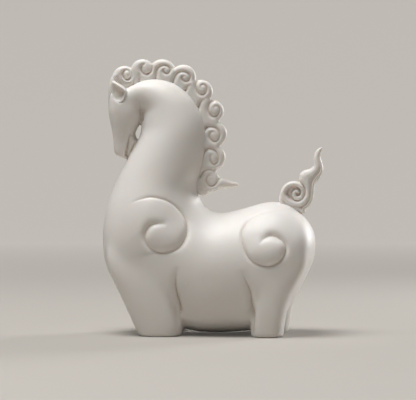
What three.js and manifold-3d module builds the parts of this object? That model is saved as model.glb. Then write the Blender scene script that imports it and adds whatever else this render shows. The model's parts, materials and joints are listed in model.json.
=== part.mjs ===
// A stylised porcelain horse, cast hollow and finished by hand. The horse faces -X, its left flank faces -Y
// and it stands on z = 0. All sizes are in millimetres.
import * as THREE from 'three';
import { mergeVertices } from 'three/addons/utils/BufferGeometryUtils.js';
import Module from 'manifold-3d';

// Driving dimensions
const LENGTH = 148.5;           // from the breast to the end of the tail
const WIDTH = 75.6;             // across the volutes of the shoulders
const HEIGHT = 184.8;           // from the soles to the top of the comb
const WALL = 4.2;               // thickness of the cast shell
const SEAT_GAP = 0.3;           // slip line between two luted pieces
const VENT_RADIUS = 4;          // vent hole under the belly
const VENT_X = 5;               // its place along the belly
const SOLE_EDGE = 1.4;          // rounding of the edge round each sole
const BODY_FULLNESS = 2;        // superellipse power of the body's rings above their middle, 2 is an ellipse
const HEAD_FULLNESS = 2.2;      // the same for the head and the lower jaw
const LEG_FULLNESS = 2.7;       // the same for the level rings of the legs
const MANE_DEEP = 4.5;          // half thickness of the comb
const LOBE_THINNING = 0.03;     // how much thinner each lobe is than the one before
const FORELOCK_DEEP = 4.35;     // half thickness of the forelock
const TAIL_WEB = 1.8;           // half thickness of the plate between the coils of the tail
const COMB_LINES = 5;           // combed grooves across the root of the forelock
const COMB_LINE_DEPTH = 0.6;
const COMB_LINE_WIDTH = 0.5;    // half width at the face
const PORCELAIN = 0xf4f0e8;     // warm white of the glaze
const GRID = 0.005;             // fineness of the finished corners

// The size that the tables were drawn at. With another length, width or height the pieces stretch along.
const DRAWN = { length: 148.5, width: 75.6, height: 184.8 };

// Rings of the body from the rump round to the neck's end. Each has a point on the back line, a point on the
// under line (both x, z), the half width, how far up from the under line the ring is widest, and how full it is
// under its middle.
const BODY_STATIONS = [
  { back: [69.2, 62.5], under: [68.9, 59.5], half: 2, widest: 0.5, full: 2.1 },
  { back: [66.8, 71], under: [67.2, 49], half: 19.5, widest: 0.5, full: 2.3 },
  { back: [61.8, 78.6], under: [60.9, 35.6], half: 29.2, widest: 0.5, full: 2.6 },
  { back: [51.6, 86.3], under: [50.6, 16.6], half: 34.2, widest: 0.5, full: 3.4 },
  { back: [38, 88.6], under: [35, 5], half: 36.1, widest: 0.5, full: 3 },
  { back: [22, 84.6], under: [17, 1.9], half: 36.7, widest: 0.5, full: 2.5 },
  { back: [6.8, 81.2], under: [2, 1.2], half: 36.8, widest: 0.5, full: 2.5 },
  { back: [-1.5, 82.6], under: [-14, 2.3], half: 36.8, widest: 0.5, full: 2.5 },
  { back: [-6.7, 86.6], under: [-36, 9], half: 36.6, widest: 0.5, full: 2.45 },
  { back: [-9.6, 91.5], under: [-58, 23.5], half: 36.2, widest: 0.5, full: 2.4 },
  { back: [-10.7, 98.4], under: [-71, 42.5], half: 35.4, widest: 0.5, full: 2.35 },
  { back: [-9.7, 104.7], under: [-74.4, 61], half: 34, widest: 0.5, full: 2.3 },
  { back: [-8.1, 110], under: [-73.1, 80], half: 32.2, widest: 0.5, full: 2.2 },
  { back: [-6, 117.8], under: [-66.9, 99.2], half: 29.4, widest: 0.5, full: 2.1 },
  { back: [-5, 127], under: [-59.6, 114.2], half: 26.2, widest: 0.5, full: 2.05 },
  { back: [-4.9, 136], under: [-53.2, 125.6], half: 23.2, widest: 0.5, full: 2 },
  { back: [-6.1, 143.6], under: [-49.7, 134.8], half: 20.6, widest: 0.5, full: 2 },
  { back: [-9.3, 151.4], under: [-48.1, 142.6], half: 18.3, widest: 0.5, full: 2 },
  { back: [-14.8, 159.6], under: [-47.2, 150], half: 16.2, widest: 0.5, full: 2 },
  { back: [-23.8, 167.3], under: [-47.8, 155.5], half: 14.1, widest: 0.5, full: 2 },
  { back: [-36, 171.6], under: [-50, 160], half: 12.2, widest: 0.5, full: 2 },
  { back: [-46.5, 171], under: [-54.5, 160], half: 10.4, widest: 0.5, full: 2 },
  { back: [-53.4, 168], under: [-58.5, 160], half: 7.6, widest: 0.5, full: 2 },
  { back: [-58.8, 165.2], under: [-60.5, 161], half: 3, widest: 0.5, full: 2 },
];
const HOLLOW_FROM = 2;          // first and last ring that the hollow reaches
const HOLLOW_TO = 18;

// Level rings of a leg, from the sole up to where it is lost in the flank: height, front and rear x,
// inner and outer y.
const FRONT_LEG = [
  { z: 0, front: -47, rear: -18.7, inner: 6, outer: 34.9 },
  { z: 7, front: -50.2, rear: -17.3, inner: 5.5, outer: 35.6 },
  { z: 16, front: -54.3, rear: -17.6, inner: 5.5, outer: 36.2 },
  { z: 28.3, front: -60.4, rear: -18.6, inner: 6, outer: 36.4 },
  { z: 38, front: -65.2, rear: -20, inner: 8, outer: 35.9 },
  { z: 48, front: -68.6, rear: -22, inner: 11, outer: 34.4 },
  { z: 58, front: -68, rear: -27, inner: 15, outer: 31 },
  { z: 66, front: -60, rear: -36, inner: 19, outer: 25 },
];
const HIND_LEG = [
  { z: 0, front: 28.6, rear: 49.6, inner: 6.5, outer: 34.6 },
  { z: 7, front: 28.4, rear: 50.3, inner: 6, outer: 35.2 },
  { z: 16, front: 28.8, rear: 52.4, inner: 6, outer: 35.8 },
  { z: 25.7, front: 28.4, rear: 54.8, inner: 6.5, outer: 36 },
  { z: 35, front: 26.8, rear: 59.6, inner: 8, outer: 35.6 },
  { z: 45, front: 25, rear: 64.2, inner: 11, outer: 33.8 },
  { z: 54, front: 28, rear: 65.6, inner: 14, outer: 30.6 },
  { z: 62, front: 36, rear: 60, inner: 17, outer: 24 },
];

// Flank volutes: middle line of the roll (x, z), its half width and how far it stands proud. The outer end
// fades into the body, the inner end is the round head.
const SHOULDER_VOLUTE = [
  { at: [-51.5, 84.5], half: 3, proud: 0.2 },
  { at: [-45, 85.2], half: 5.2, proud: 0.6 },
  { at: [-36.5, 84.6], half: 7.4, proud: 0.8 },
  { at: [-28, 81], half: 8.6, proud: 1.1 },
  { at: [-22.6, 74.6], half: 8.8, proud: 1.5 },
  { at: [-23.6, 68.8], half: 9.6, proud: 2 },
  { at: [-27.4, 66.2], half: 10.8, proud: 2.4 },
  { at: [-31.8, 66.8], half: 9.6, proud: 2.3 },
  { at: [-35.4, 68.4], half: 5.8, proud: 1.8 },
];
const HAUNCH_VOLUTE = [
  { at: [52, 78.6], half: 3, proud: 0.2 },
  { at: [45, 76.6], half: 5.6, proud: 0.6 },
  { at: [37.4, 73.4], half: 7.6, proud: 0.8 },
  { at: [31.6, 68], half: 8.8, proud: 1.1 },
  { at: [32, 61.4], half: 9, proud: 1.5 },
  { at: [36, 57.6], half: 9.8, proud: 2 },
  { at: [40.8, 56.8], half: 9.6, proud: 2.4 },
  { at: [44.8, 58.4], half: 7.4, proud: 2.3 },
  { at: [47, 61], half: 4.4, proud: 1.8 },
];

// Head from the poll to the muzzle's end: rear and front points (x, z) and half width
const HEAD_STATIONS = [
  { back: [-58, 163.6], under: [-67.4, 164.4], half: 3, widest: 0.5, full: 2.2 },
  { back: [-53, 164], under: [-69.2, 164.2], half: 8, widest: 0.5, full: 2.2 },
  { back: [-49.5, 162.4], under: [-70.3, 162.4], half: 11, widest: 0.5, full: 2.3 },
  { back: [-47.2, 158.8], under: [-70.7, 159], half: 12.6, widest: 0.52, full: 2.3 },
  { back: [-46.2, 153.8], under: [-71, 154], half: 13, widest: 0.55, full: 2.4 },
  { back: [-46.8, 148], under: [-70.9, 149], half: 12.6, widest: 0.56, full: 2.5 },
  { back: [-50, 142.2], under: [-69.9, 142.8], half: 11.4, widest: 0.55, full: 2.6 },
  { back: [-53.8, 136], under: [-68.4, 136], half: 9.8, widest: 0.54, full: 2.6 },
  { back: [-55.6, 129], under: [-67.6, 129], half: 8.4, widest: 0.52, full: 2.6 },
  { back: [-56.9, 122.4], under: [-67.2, 123], half: 7.9, widest: 0.5, full: 2.6 },
  { back: [-57.4, 118.4], under: [-66.5, 120.6], half: 7, widest: 0.5, full: 2.5 },
  { back: [-58.6, 117.4], under: [-65.4, 119.9], half: 5, widest: 0.5, full: 2.4 },
];
// Lower jaw, set in behind the mouth crease and resting on the chest
const JAW_STATIONS = [
  { back: [-54.6, 139.6], under: [-60, 140], half: 7.6, widest: 0.5, full: 2.2 },
  { back: [-54.1, 135], under: [-62, 135.4], half: 7.4, widest: 0.5, full: 2.2 },
  { back: [-52.3, 130.6], under: [-62, 131], half: 7, widest: 0.5, full: 2.2 },
  { back: [-50.6, 127], under: [-62, 127.4], half: 6.6, widest: 0.5, full: 2.2 },
  { back: [-51, 122], under: [-62, 122.6], half: 6, widest: 0.5, full: 2.2 },
  { back: [-53.4, 117.2], under: [-61, 119.6], half: 5, widest: 0.5, full: 2.2 },
];

// Comb of the mane: round lobes from the poll to the withers, the crest that they grow from, and the flick at
// the end. The spiral grooves (x, z, depth, half width) turn each lobe into a curl on both faces.
const MANE_LOBES = [
  { at: [-48, 176.8], radius: 8 },
  { at: [-34.6, 175.6], radius: 9.4 },
  { at: [-20.3, 172.3], radius: 8.6 },
  { at: [-8.2, 162.6], radius: 8 },
  { at: [-0.3, 149.6], radius: 7.4 },
  { at: [0.6, 134.2], radius: 8.7 },
  { at: [0, 118.5], radius: 8.4 },
  { at: [-3, 102.6], radius: 7.7 },
];
const CREST = [
  { at: [-7.2, 99.5], half: 6.9, deep: 4.2 },
  { at: [-6.7, 104.7], half: 6.9, deep: 4.2 },
  { at: [-4.2, 111.6], half: 6.9, deep: 4.2 },
  { at: [-3, 117.8], half: 6.9, deep: 4.2 },
  { at: [-2.2, 125.2], half: 6.9, deep: 4.2 },
  { at: [-1.9, 132.4], half: 6.9, deep: 4.2 },
  { at: [-2, 138.9], half: 6.9, deep: 4.2 },
  { at: [-3.5, 145.3], half: 6.9, deep: 4.2 },
  { at: [-6.7, 152.9], half: 6.9, deep: 4.2 },
  { at: [-10.6, 159.2], half: 6.9, deep: 4.2 },
  { at: [-17.1, 166.3], half: 6.9, deep: 4.2 },
  { at: [-26.7, 172], half: 6.9, deep: 4.2 },
  { at: [-38, 174.4], half: 6.9, deep: 4.2 },
  { at: [-49.5, 173], half: 6.9, deep: 4.2 },
];
const FLICK = [
  { at: [-9.2, 98.8], half: 2.4, deep: 4.3 },
  { at: [-5.8, 97.9], half: 2.6, deep: 4.3 },
  { at: [-2.2, 97.8], half: 2.8, deep: 4.3 },
  { at: [1.6, 99.4], half: 3.2, deep: 4.2 },
  { at: [5, 101.2], half: 3.3, deep: 4 },
  { at: [8.4, 100.6], half: 3, deep: 3.4 },
  { at: [12.4, 100.1], half: 2.1, deep: 2.4 },
  { at: [15.4, 100.2], half: 1.5, deep: 1.6 },
  { at: [17.1, 100], half: 0.5, deep: 0.7 },
];
const MANE_GROOVES = [
  [
    [-41.1, 179.8, 0.8, 0.8], [-41.1, 177.8, 1.3, 0.9], [-41.9, 176, 1.4, 1], [-43.6, 174.9, 1.5, 1.1],
    [-45.5, 174.6, 1.5, 1.1], [-47.2, 175.3, 1.6, 1.1], [-48.3, 176.9, 1.8, 1.2], [-48.4, 178.9, 1.8, 1.3],
    [-47.6, 180.5, 1.1, 1.1], [-46.1, 181.2, 0.5, 1], [-44.7, 181.3, 0, 0.9],
  ],
  [
    [-49.7, 170, 1.7, 1.3], [-49.6, 171.9, 1.3, 1.2], [-49.6, 173.8, 0.8, 1.1], [-49.1, 175.5, 0.6, 1],
    [-48.5, 176.6, 0.5, 1],
  ],
  [
    [-38.9, 171.3, 1.9, 1.3], [-38.4, 173.8, 1.7, 1.3], [-37.9, 176.8, 1.6, 1.3], [-36.8, 178.7, 1.6, 1.2],
    [-34.7, 179.9, 1.4, 1.1], [-32.2, 180.2, 1.3, 1], [-30.1, 179.3, 1.2, 1], [-28.9, 177.6, 1.2, 1],
    [-29.2, 176, 1.3, 1], [-30.7, 175, 1.4, 1], [-32.4, 175.3, 1.4, 1], [-33.5, 176.4, 1.3, 1],
    [-33.2, 177.6, 0.9, 0.9], [-32.1, 177.9, 0.4, 0.8],
  ],
  [
    [-26.8, 169.8, 1.9, 1.3], [-26, 171.7, 1.8, 1.3], [-25.1, 173.7, 1.7, 1.3], [-23.4, 175.2, 1.4, 1.1],
    [-20.9, 176, 1.3, 1], [-18.1, 175.6, 1.3, 1], [-16, 174.1, 1.3, 1], [-15.3, 172.1, 1.3, 1],
    [-16.2, 170.4, 1.4, 1.1], [-18.1, 169.7, 1.5, 1.1], [-19.8, 170.3, 1.4, 1.1], [-20.7, 171.6, 1.2, 1],
    [-20.2, 172.7, 0.9, 0.9], [-19, 172.7, 0.4, 0.8],
  ],
  [
    [-18.2, 163.9, 1.7, 1.2], [-17.3, 165.4, 1.1, 1.1], [-15.8, 166.6, 0.5, 1], [-14.3, 167.6, 0, 1],
  ],
  [
    [-10.1, 170.4, 1.4, 0.9], [-10.9, 168.7, 1.5, 1.1], [-11.4, 166.6, 1.5, 1.1], [-11, 164.1, 1.5, 1.1],
    [-9.8, 161.9, 1.5, 1.1], [-7.8, 160.6, 1.5, 1.1], [-5.7, 161, 1.4, 1.1], [-4.3, 162.7, 1.3, 1],
    [-4.1, 164.8, 1.2, 1], [-4.9, 166.5, 1, 0.9], [-6.3, 167.3, 0.8, 0.9], [-7.6, 166.6, 0.5, 0.8],
    [-8, 165.4, 0.2, 0.8],
  ],
  [
    [-9.3, 152.9, 1.7, 1.2], [-8.4, 154.9, 1.1, 1.1], [-6.7, 156.6, 0.5, 1], [-4.8, 157.8, 0, 1],
  ],
  [
    [0.5, 156.5, 1.3, 0.9], [-1.9, 154.7, 1.5, 1.1], [-3, 151.7, 1.5, 1.1], [-2.4, 148.4, 1.5, 1.1],
    [-0.3, 146.1, 1.5, 1.1], [2.2, 146.2, 1.4, 1.1], [4.1, 148, 1.3, 1], [4.6, 150.4, 1.1, 0.9],
    [3.6, 152.4, 0.8, 0.9], [1.9, 152.7, 0.5, 0.8], [0.9, 151.3, 0.1, 0.8],
  ],
  [
    [-5.1, 137.6, 1.9, 1.2], [-3.2, 138.9, 1.7, 1.2], [-0.4, 138.9, 1.4, 1.1], [2.4, 137.9, 1.3, 1],
    [4.2, 135.7, 1.2, 1], [4.8, 133, 1.2, 1], [3.7, 130.4, 1.3, 1], [1.3, 129.3, 1.4, 1],
    [-1, 130.4, 1.3, 1], [-2.1, 132.6, 1.2, 1], [-1.7, 134.5, 0.9, 0.9], [-0.2, 135.6, 0.6, 0.8],
    [1.4, 135, 0.2, 0.8],
  ],
  [
    [-5.4, 122.6, 1.9, 1.2], [-3.5, 124.2, 1.7, 1.2], [-0.7, 124, 1.4, 1.1], [1.7, 122.8, 1.3, 1],
    [3.3, 120.3, 1.2, 1], [3.7, 117.4, 1.2, 1], [2.9, 115, 1.3, 1], [0.7, 114.1, 1.3, 1],
    [-1.2, 115.3, 1.2, 1], [-1.9, 117.4, 1.1, 1], [-1.5, 119.4, 0.7, 0.9], [-0.1, 120.2, 0.2, 0.8],
  ],
  [
    [-8.1, 105.5, 1.3, 1.1], [-6.7, 108.2, 1.4, 1.1], [-5, 109.6, 1.3, 1.1], [-2.6, 110.1, 1, 1],
    [0.5, 110, 0.7, 0.9], [3, 110.2, 0.5, 0.8],
  ],
  [
    [4.5, 105.1, 1.4, 0.9], [3.6, 102.4, 1.3, 1], [1.7, 100.2, 1.3, 1], [-0.7, 99.2, 1.3, 1],
    [-3.1, 100.4, 1.3, 1], [-4.2, 102.6, 1.2, 1], [-3.8, 104.9, 1, 1], [-2.3, 106.3, 0.6, 0.9],
    [-0.4, 106.1, 0.2, 0.8],
  ],
];

// Forelock: a lobe over the poll, a tongue down the forehead and the root above the ears
const FORELOCK_LOBE = { at: [-60.3, 172], radius: 8.25 };
const FORELOCK_TONGUE = [
  { at: [-70.6, 150.5], half: 0.6, deep: 1.8 },
  { at: [-70.3, 155], half: 1.1, deep: 2.8 },
  { at: [-69.8, 160], half: 1.6, deep: 3.6 },
  { at: [-68.9, 165], half: 2.3, deep: 4.2 },
  { at: [-67.2, 169.6], half: 3.2, deep: 4.3 },
  { at: [-64.6, 173], half: 4.2, deep: 4.3 },
];
const FORELOCK_ROOT = [
  { at: [-65, 168.6], half: 4.6, deep: 4.4 },
  { at: [-61, 167.6], half: 4.6, deep: 4.4 },
  { at: [-56.4, 170.4], half: 3.6, deep: 4.4 },
  { at: [-54, 173], half: 2.6, deep: 4.3 },
];
const FORELOCK_GROOVE = [
  [-54.8, 178.9, 0.9, 0.9], [-54.2, 176.3, 1.3, 1], [-54.8, 173.4, 1.4, 1], [-56.5, 171.3, 1.5, 1.1],
  [-58.4, 170.9, 1.5, 1.1], [-60.2, 172.1, 1.6, 1.1], [-61, 174.1, 1.7, 1.2], [-60.6, 175.9, 1.5, 1.1],
  [-59.3, 177.1, 1, 1], [-57.6, 177.1, 0.8, 0.9], [-56.5, 176.1, 0.7, 0.8], [-56.2, 174.5, 0.6, 0.8],
  [-57, 173.3, 0.4, 0.8], [-58.3, 173.3, 0.1, 0.7],
];
// First and last of the combed grooves, each through four places (x, z)
const COMB_FIRST = [[-67.6, 172.4], [-63.8, 168], [-60.4, 164.8], [-53.5, 166.4]];
const COMB_LAST = [[-62, 174.4], [-59.6, 169.6], [-56.6, 168.9], [-53.4, 170.6]];

// Tail: the strand from the tip of the flame down and round the curl, the coil that winds in from there, the
// thin band along its right edge, the root on the rump, and the core between them
const TAIL_STRAND = [
  { at: [73.1, 124.7], half: 0.7, deep: 0.9 },
  { at: [71.8, 123.5], half: 1.4, deep: 1.5 },
  { at: [70.6, 121.4], half: 2, deep: 2.1 },
  { at: [69.8, 118.4], half: 2.4, deep: 2.7 },
  { at: [70, 115], half: 2.8, deep: 3.2 },
  { at: [70, 111.4], half: 3.2, deep: 3.7 },
  { at: [67.4, 107.8], half: 3.9, deep: 4.1 },
  { at: [62.9, 104.6], half: 5.5, deep: 4.3 },
  { at: [63.4, 101.4], half: 3.4, deep: 4.5 },
  { at: [64.2, 97], half: 2.2, deep: 4.6 },
  { at: [63.8, 92.4], half: 2.3, deep: 4.6 },
  { at: [61.2, 88.6], half: 2.6, deep: 4.6 },
  { at: [57.2, 87], half: 2.6, deep: 4.6 },
  { at: [52.6, 88], half: 2.6, deep: 4.6 },
  { at: [49, 90.6], half: 2.7, deep: 4.6 },
  { at: [47.5, 94], half: 2.4, deep: 4.6 },
];
const TAIL_COIL = [
  { at: [49, 90.6], half: 2.7, deep: 4.6 },
  { at: [47.5, 94], half: 2.4, deep: 4.6 },
  { at: [48.9, 97.9], half: 2.1, deep: 4.6 },
  { at: [51.6, 100.2], half: 1.9, deep: 4.6 },
  { at: [55, 100.8], half: 1.9, deep: 4.6 },
  { at: [58.4, 99.6], half: 1.8, deep: 4.5 },
  { at: [60.4, 96.8], half: 1.6, deep: 4.3 },
  { at: [60.4, 93.6], half: 1.6, deep: 4.2 },
  { at: [58.6, 91.4], half: 1.8, deep: 4.2 },
  { at: [56, 91.4], half: 1.9, deep: 4.2 },
  { at: [54.6, 93.4], half: 1.7, deep: 4.2 },
  { at: [55.4, 95.6], half: 1.5, deep: 4.2 },
  { at: [57.3, 95.6], half: 1.3, deep: 4.2 },
];
const TAIL_BAND = [
  { at: [71.9, 120.8], half: 0.7, deep: 1.8 },
  { at: [71.4, 118.6], half: 0.8, deep: 2.2 },
  { at: [72.2, 115.2], half: 1, deep: 2.6 },
  { at: [73.1, 111.6], half: 1.1, deep: 3 },
  { at: [72.4, 108.2], half: 1.2, deep: 3.3 },
  { at: [69.8, 105.2], half: 1.2, deep: 3.6 },
  { at: [67.6, 101.4], half: 1.2, deep: 3.8 },
  { at: [66.9, 95], half: 1.25, deep: 3.9 },
  { at: [66, 90.4], half: 1.3, deep: 3.9 },
  { at: [63.8, 86.9], half: 1.4, deep: 3.9 },
  { at: [61.2, 84.8], half: 1.4, deep: 3.9 },
];
const TAIL_ROOT = [
  { at: [47, 93], half: 2.2, deep: 4.2 },
  { at: [46.4, 89], half: 2.3, deep: 4.2 },
  { at: [48.6, 86.8], half: 2.4, deep: 4 },
  { at: [53, 85.2], half: 2.8, deep: 4 },
  { at: [57.6, 84], half: 2.8, deep: 4 },
  { at: [60, 83], half: 2.4, deep: 3.8 },
];
const TAIL_CORE = [
  { at: [58, 85], half: 4.5, deep: 3.3 },
  { at: [62, 91], half: 4.5, deep: 3.3 },
  { at: [64.6, 97], half: 3.5, deep: 3.3 },
  { at: [65, 102], half: 4, deep: 3.2 },
  { at: [69, 107.5], half: 4, deep: 2.6 },
];
const TAIL_PLATE = { at: [54.4, 93.8], radius: 7.6 };

// Rim of the left ear (x, y, z) from its tip round the rear corner
const EAR_RIM = [
  [-65.9, -10, 169], [-62.6, -13.2, 166.6], [-59.5, -15.6, 162.9], [-60.3, -15.4, 158.6],
  [-62.5, -14.2, 155.4], [-65.2, -11.6, 156.4], [-66.8, -9, 160.4], [-67, -8.2, 165.4],
];
const EAR_ROOT_Y = -7;          // how far the ear's root reaches into the head
const EAR_HOLLOW = 2.4;         // depth of its hollow

// Numbers of faces
const BODY_SIDES = 24;
const BODY_STEPS = 2;           // rings to each station
const LEG_SIDES = 14;
const HOLLOW_SIDES = 8;
const ROLL_SIDES = 8;
const LOBE_SIDES = 18;

const TAU = Math.PI * 2;
const wasm = await Module();
wasm.setup();

// Closed surface through equal rings of points, with a flat fan at each end, faces turned outwards
function loft(rings) {
  const sides = rings[0].length;
  const points = rings.flat();
  const faces = [];
  for (let i = 0; i + 1 < rings.length; i += 1) {
    for (let j = 0; j < sides; j += 1) {
      const a = i * sides + j;
      const b = i * sides + (j + 1) % sides;
      faces.push(a, b, b + sides, a, b + sides, a + sides);
    }
  }
  for (const [ring, first, flip] of [
    [rings[0], 0, false],
    [rings[rings.length - 1], (rings.length - 1) * sides, true],
  ]) {
    const middle = ring.reduce((sum, p) => sum.add(p), new THREE.Vector3()).divideScalar(sides);
    points.push(middle);
    for (let j = 0; j < sides; j += 1) {
      const a = first + j;
      const b = first + (j + 1) % sides;
      faces.push(points.length - 1, flip ? a : b, flip ? b : a);
    }
  }
  const geometry = new THREE.BufferGeometry().setFromPoints(points);
  geometry.setIndex(faces);
  return geometry;
}

// Geometry to solid, turned right side out
function solid(geometry) {
  const bare = geometry.clone();
  bare.deleteAttribute('normal');
  bare.deleteAttribute('uv');
  const merged = mergeVertices(bare, 1e-4);
  const vertProperties = new Float32Array(merged.attributes.position.array);
  const triVerts = new Uint32Array(merged.index.array);
  const made = new wasm.Manifold(new wasm.Mesh({ numProp: 3, vertProperties, triVerts }));
  if (made.volume() >= 0) return made;
  for (let i = 0; i < triVerts.length; i += 3) {
    [triVerts[i + 1], triVerts[i + 2]] = [triVerts[i + 2], triVerts[i + 1]];
  }
  return new wasm.Manifold(new wasm.Mesh({ numProp: 3, vertProperties, triVerts }));
}

function joined(solids) {
  return solids.reduce((sum, next) => sum.add(next));
}

// Solid to geometry, with its corners on a fine grid and the slivers that close up there left out
function geometryOf(made) {
  const mesh = made.getMesh();
  const places = new Map();
  const corners = [];
  const cornerOf = (vertex) => {
    const start = vertex * mesh.numProp;
    const cells = Array.from(mesh.vertProperties.slice(start, start + 3), (v) => Math.round(v / GRID));
    const key = cells.join(' ');
    if (!places.has(key)) {
      places.set(key, corners.length);
      corners.push(new THREE.Vector3(...cells).multiplyScalar(GRID));
    }
    return places.get(key);
  };
  const faces = [];
  for (let i = 0; i < mesh.triVerts.length; i += 3) {
    const [a, b, c] = Array.from(mesh.triVerts.slice(i, i + 3), cornerOf);
    if (a !== b && b !== c && c !== a) faces.push(a, b, c);
  }
  const geometry = new THREE.BufferGeometry().setFromPoints(corners);
  geometry.setIndex(faces);
  return geometry;
}

// Smooth values between the stations of a list, at t from 0 to 1
function smooth(values, t) {
  const curve = new THREE.CatmullRomCurve3(values, false, 'centripetal');
  return curve.getPoint(t);
}

// The end rings moved out along the form by the margin, so that its flat ends grow or shrink too
function endsMoved(rings, margin) {
  const middle = (ring) => ring.reduce((sum, p) => sum.add(p), new THREE.Vector3()).divideScalar(ring.length);
  for (const [end, next] of [[0, 1], [rings.length - 1, rings.length - 2]]) {
    const out = middle(rings[end]).sub(middle(rings[next])).normalize();
    for (const point of rings[end]) point.addScaledVector(out, margin);
  }
  return rings;
}

const power = (value, fullness) => Math.sign(value) * Math.abs(value) ** (2 / fullness);

// Rings of a form given by stations, each grown outwards by a margin (inwards where it is negative)
function stationRings(stations, fullness, sides, steps, margin) {
  const backs = stations.map((s) => new THREE.Vector3(s.back[0], 0, s.back[1]));
  const unders = stations.map((s) => new THREE.Vector3(s.under[0], 0, s.under[1]));
  const widths = stations.map((s) => new THREE.Vector3(s.full * 10, s.widest * 10, s.half));
  const count = (stations.length - 1) * steps;
  const rings = [];
  for (let i = 0; i <= count; i += 1) {
    const back = smooth(backs, i / count);
    const under = smooth(unders, i / count);
    const width = smooth(widths, i / count);
    const up = back.clone().sub(under).normalize();
    back.addScaledVector(up, margin);
    under.addScaledVector(up, -margin);
    const middle = under.clone().lerp(back, width.y / 10);
    const half = width.z + margin;
    const ring = [];
    for (let j = 0; j < sides; j += 1) {
      const angle = (j / sides) * TAU;
      const full = Math.cos(angle) < 0 ? width.x / 10 : fullness;
      const rise = power(Math.cos(angle), full);
      const end = rise > 0 ? back : under;
      const point = middle.clone().lerp(end, Math.abs(rise));
      point.y = half * power(Math.sin(angle), full);
      ring.push(point);
    }
    rings.push(ring);
  }
  return endsMoved(rings, margin);
}

// Level rounded rings of a leg. The sole's edge is rounded, and a margin grows or shrinks every side.
function legRings(levels, side, margin, sides) {
  const rings = [];
  const lowest = levels[0];
  const second = levels[1];
  const ringAt = (level, z, inset) => {
    const centre = new THREE.Vector3((level.front + level.rear) / 2, side * (level.inner + level.outer) / 2, z);
    const long = (level.rear - level.front) / 2 + margin - inset;
    const wide = (level.outer - level.inner) / 2 + margin - inset;
    return Array.from({ length: sides }, (unused, j) => {
      const angle = (j / sides) * TAU;
      return new THREE.Vector3(
        centre.x + long * power(Math.cos(angle), LEG_FULLNESS),
        centre.y + wide * power(Math.sin(angle), LEG_FULLNESS),
        z,
      );
    });
  };
  const mix = (key, share) => lowest[key] + (second[key] - lowest[key]) * share;
  for (const turn of [0, 45, 90]) {
    const angle = THREE.MathUtils.degToRad(turn);
    const rise = SOLE_EDGE * (1 - Math.cos(angle));
    const share = rise / second.z;
    const level = {
      front: mix('front', share),
      rear: mix('rear', share),
      inner: mix('inner', share),
      outer: mix('outer', share),
    };
    rings.push(ringAt(level, rise - margin, SOLE_EDGE * (1 - Math.sin(angle))));
  }
  for (const level of levels.slice(1)) rings.push(ringAt(level, level.z, 0));
  return rings;
}

// Sweep of an oval section along a line in the middle plane: half width in the plane, half depth across it
function ribbonRings(line, steps, margin, fullness) {
  const places = line.map((s) => new THREE.Vector3(s.at[0], 0, s.at[1]));
  const sizes = line.map((s, i) => new THREE.Vector3(i * 5, s.half, s.deep));
  const curve = new THREE.CatmullRomCurve3(places, false, 'centripetal');
  const count = (line.length - 1) * steps;
  const rings = [];
  for (let i = 0; i <= count; i += 1) {
    const t = i / count;
    const place = curve.getPoint(t);
    const along = curve.getPoint(Math.min(1, t + 0.01)).sub(curve.getPoint(Math.max(0, t - 0.01))).normalize();
    const across = new THREE.Vector3(-along.z, 0, along.x);
    const size = smooth(sizes, t);
    rings.push(Array.from({ length: ROLL_SIDES }, (unused, j) => {
      const angle = ((j + 0.5) / ROLL_SIDES) * TAU;
      const point = place.clone().addScaledVector(across, (size.y + margin) * power(Math.cos(angle), fullness));
      point.y += (size.z + margin) * power(Math.sin(angle), fullness);
      return point;
    }));
  }
  return endsMoved(rings, margin);
}

function ribbon(line, steps = 1, margin = 0, fullness = 2.4) {
  return solid(loft(ribbonRings(line, steps, margin, fullness)));
}

// Round lobe across the middle plane, flat on both faces with a rounded rim
function lobe(spec, deep, margin = 0) {
  const profile = [[-1, 1.6], [-0.65, 0.1], [0.65, 0.1], [1, 1.6]];
  return solid(loft(profile.map(([share, inset]) => (
    Array.from({ length: LOBE_SIDES }, (unused, j) => {
      const angle = (j / LOBE_SIDES) * TAU;
      const reach = spec.radius + margin - inset;
      return new THREE.Vector3(
        spec.at[0] + reach * Math.cos(angle),
        share * (deep + margin),
        spec.at[1] + reach * Math.sin(angle),
      );
    })
  ))));
}

// V-shaped groove along rows of x, z, depth and half width, cut into the face at y = side * face
function grooveCut(rows, face, side) {
  const places = rows.map(([x, z]) => new THREE.Vector3(x, 0, z));
  const rings = rows.map(([x, z, depth, half], i) => {
    const along = places[Math.min(i + 1, rows.length - 1)].clone().sub(places[Math.max(i - 1, 0)]).normalize();
    const reach = Math.max(0.25, half * Math.min(1, depth));
    const above = 0.6;
    const open = reach * (1 + above / Math.max(depth, 0.3));
    return [
      new THREE.Vector3(x - along.z * open, side * (face + above), z + along.x * open),
      new THREE.Vector3(x + along.z * open, side * (face + above), z - along.x * open),
      new THREE.Vector3(x, side * (face - Math.max(depth, 0.1)), z),
    ];
  });
  return solid(loft(rings));
}

function grooved(made, lines, face) {
  return lines.reduce(
    (piece, rows) => piece.subtract(grooveCut(rows, face, -1)).subtract(grooveCut(rows, face, 1)),
    made,
  );
}

// Trunk and neck, then the four legs
const trunkRings = (margin) => stationRings(BODY_STATIONS, BODY_FULLNESS, BODY_SIDES, BODY_STEPS, margin);
const trunkGeometry = loft(trunkRings(0));
const trunk = solid(trunkGeometry);
const grownTrunk = solid(loft(trunkRings(SEAT_GAP * 1.3)));
const LEGS = [[FRONT_LEG, -1], [FRONT_LEG, 1], [HIND_LEG, -1], [HIND_LEG, 1]];

// The left flank's y at a place on the trunk, and its outward direction there
const flank = new THREE.Mesh(trunkGeometry, new THREE.MeshBasicMaterial({ side: THREE.DoubleSide }));
flank.updateMatrixWorld(true);

function flankY(x, z) {
  const ray = new THREE.Raycaster(new THREE.Vector3(x, -200, z), new THREE.Vector3(0, 1, 0));
  return ray.intersectObject(flank)[0].point.y;
}

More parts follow.
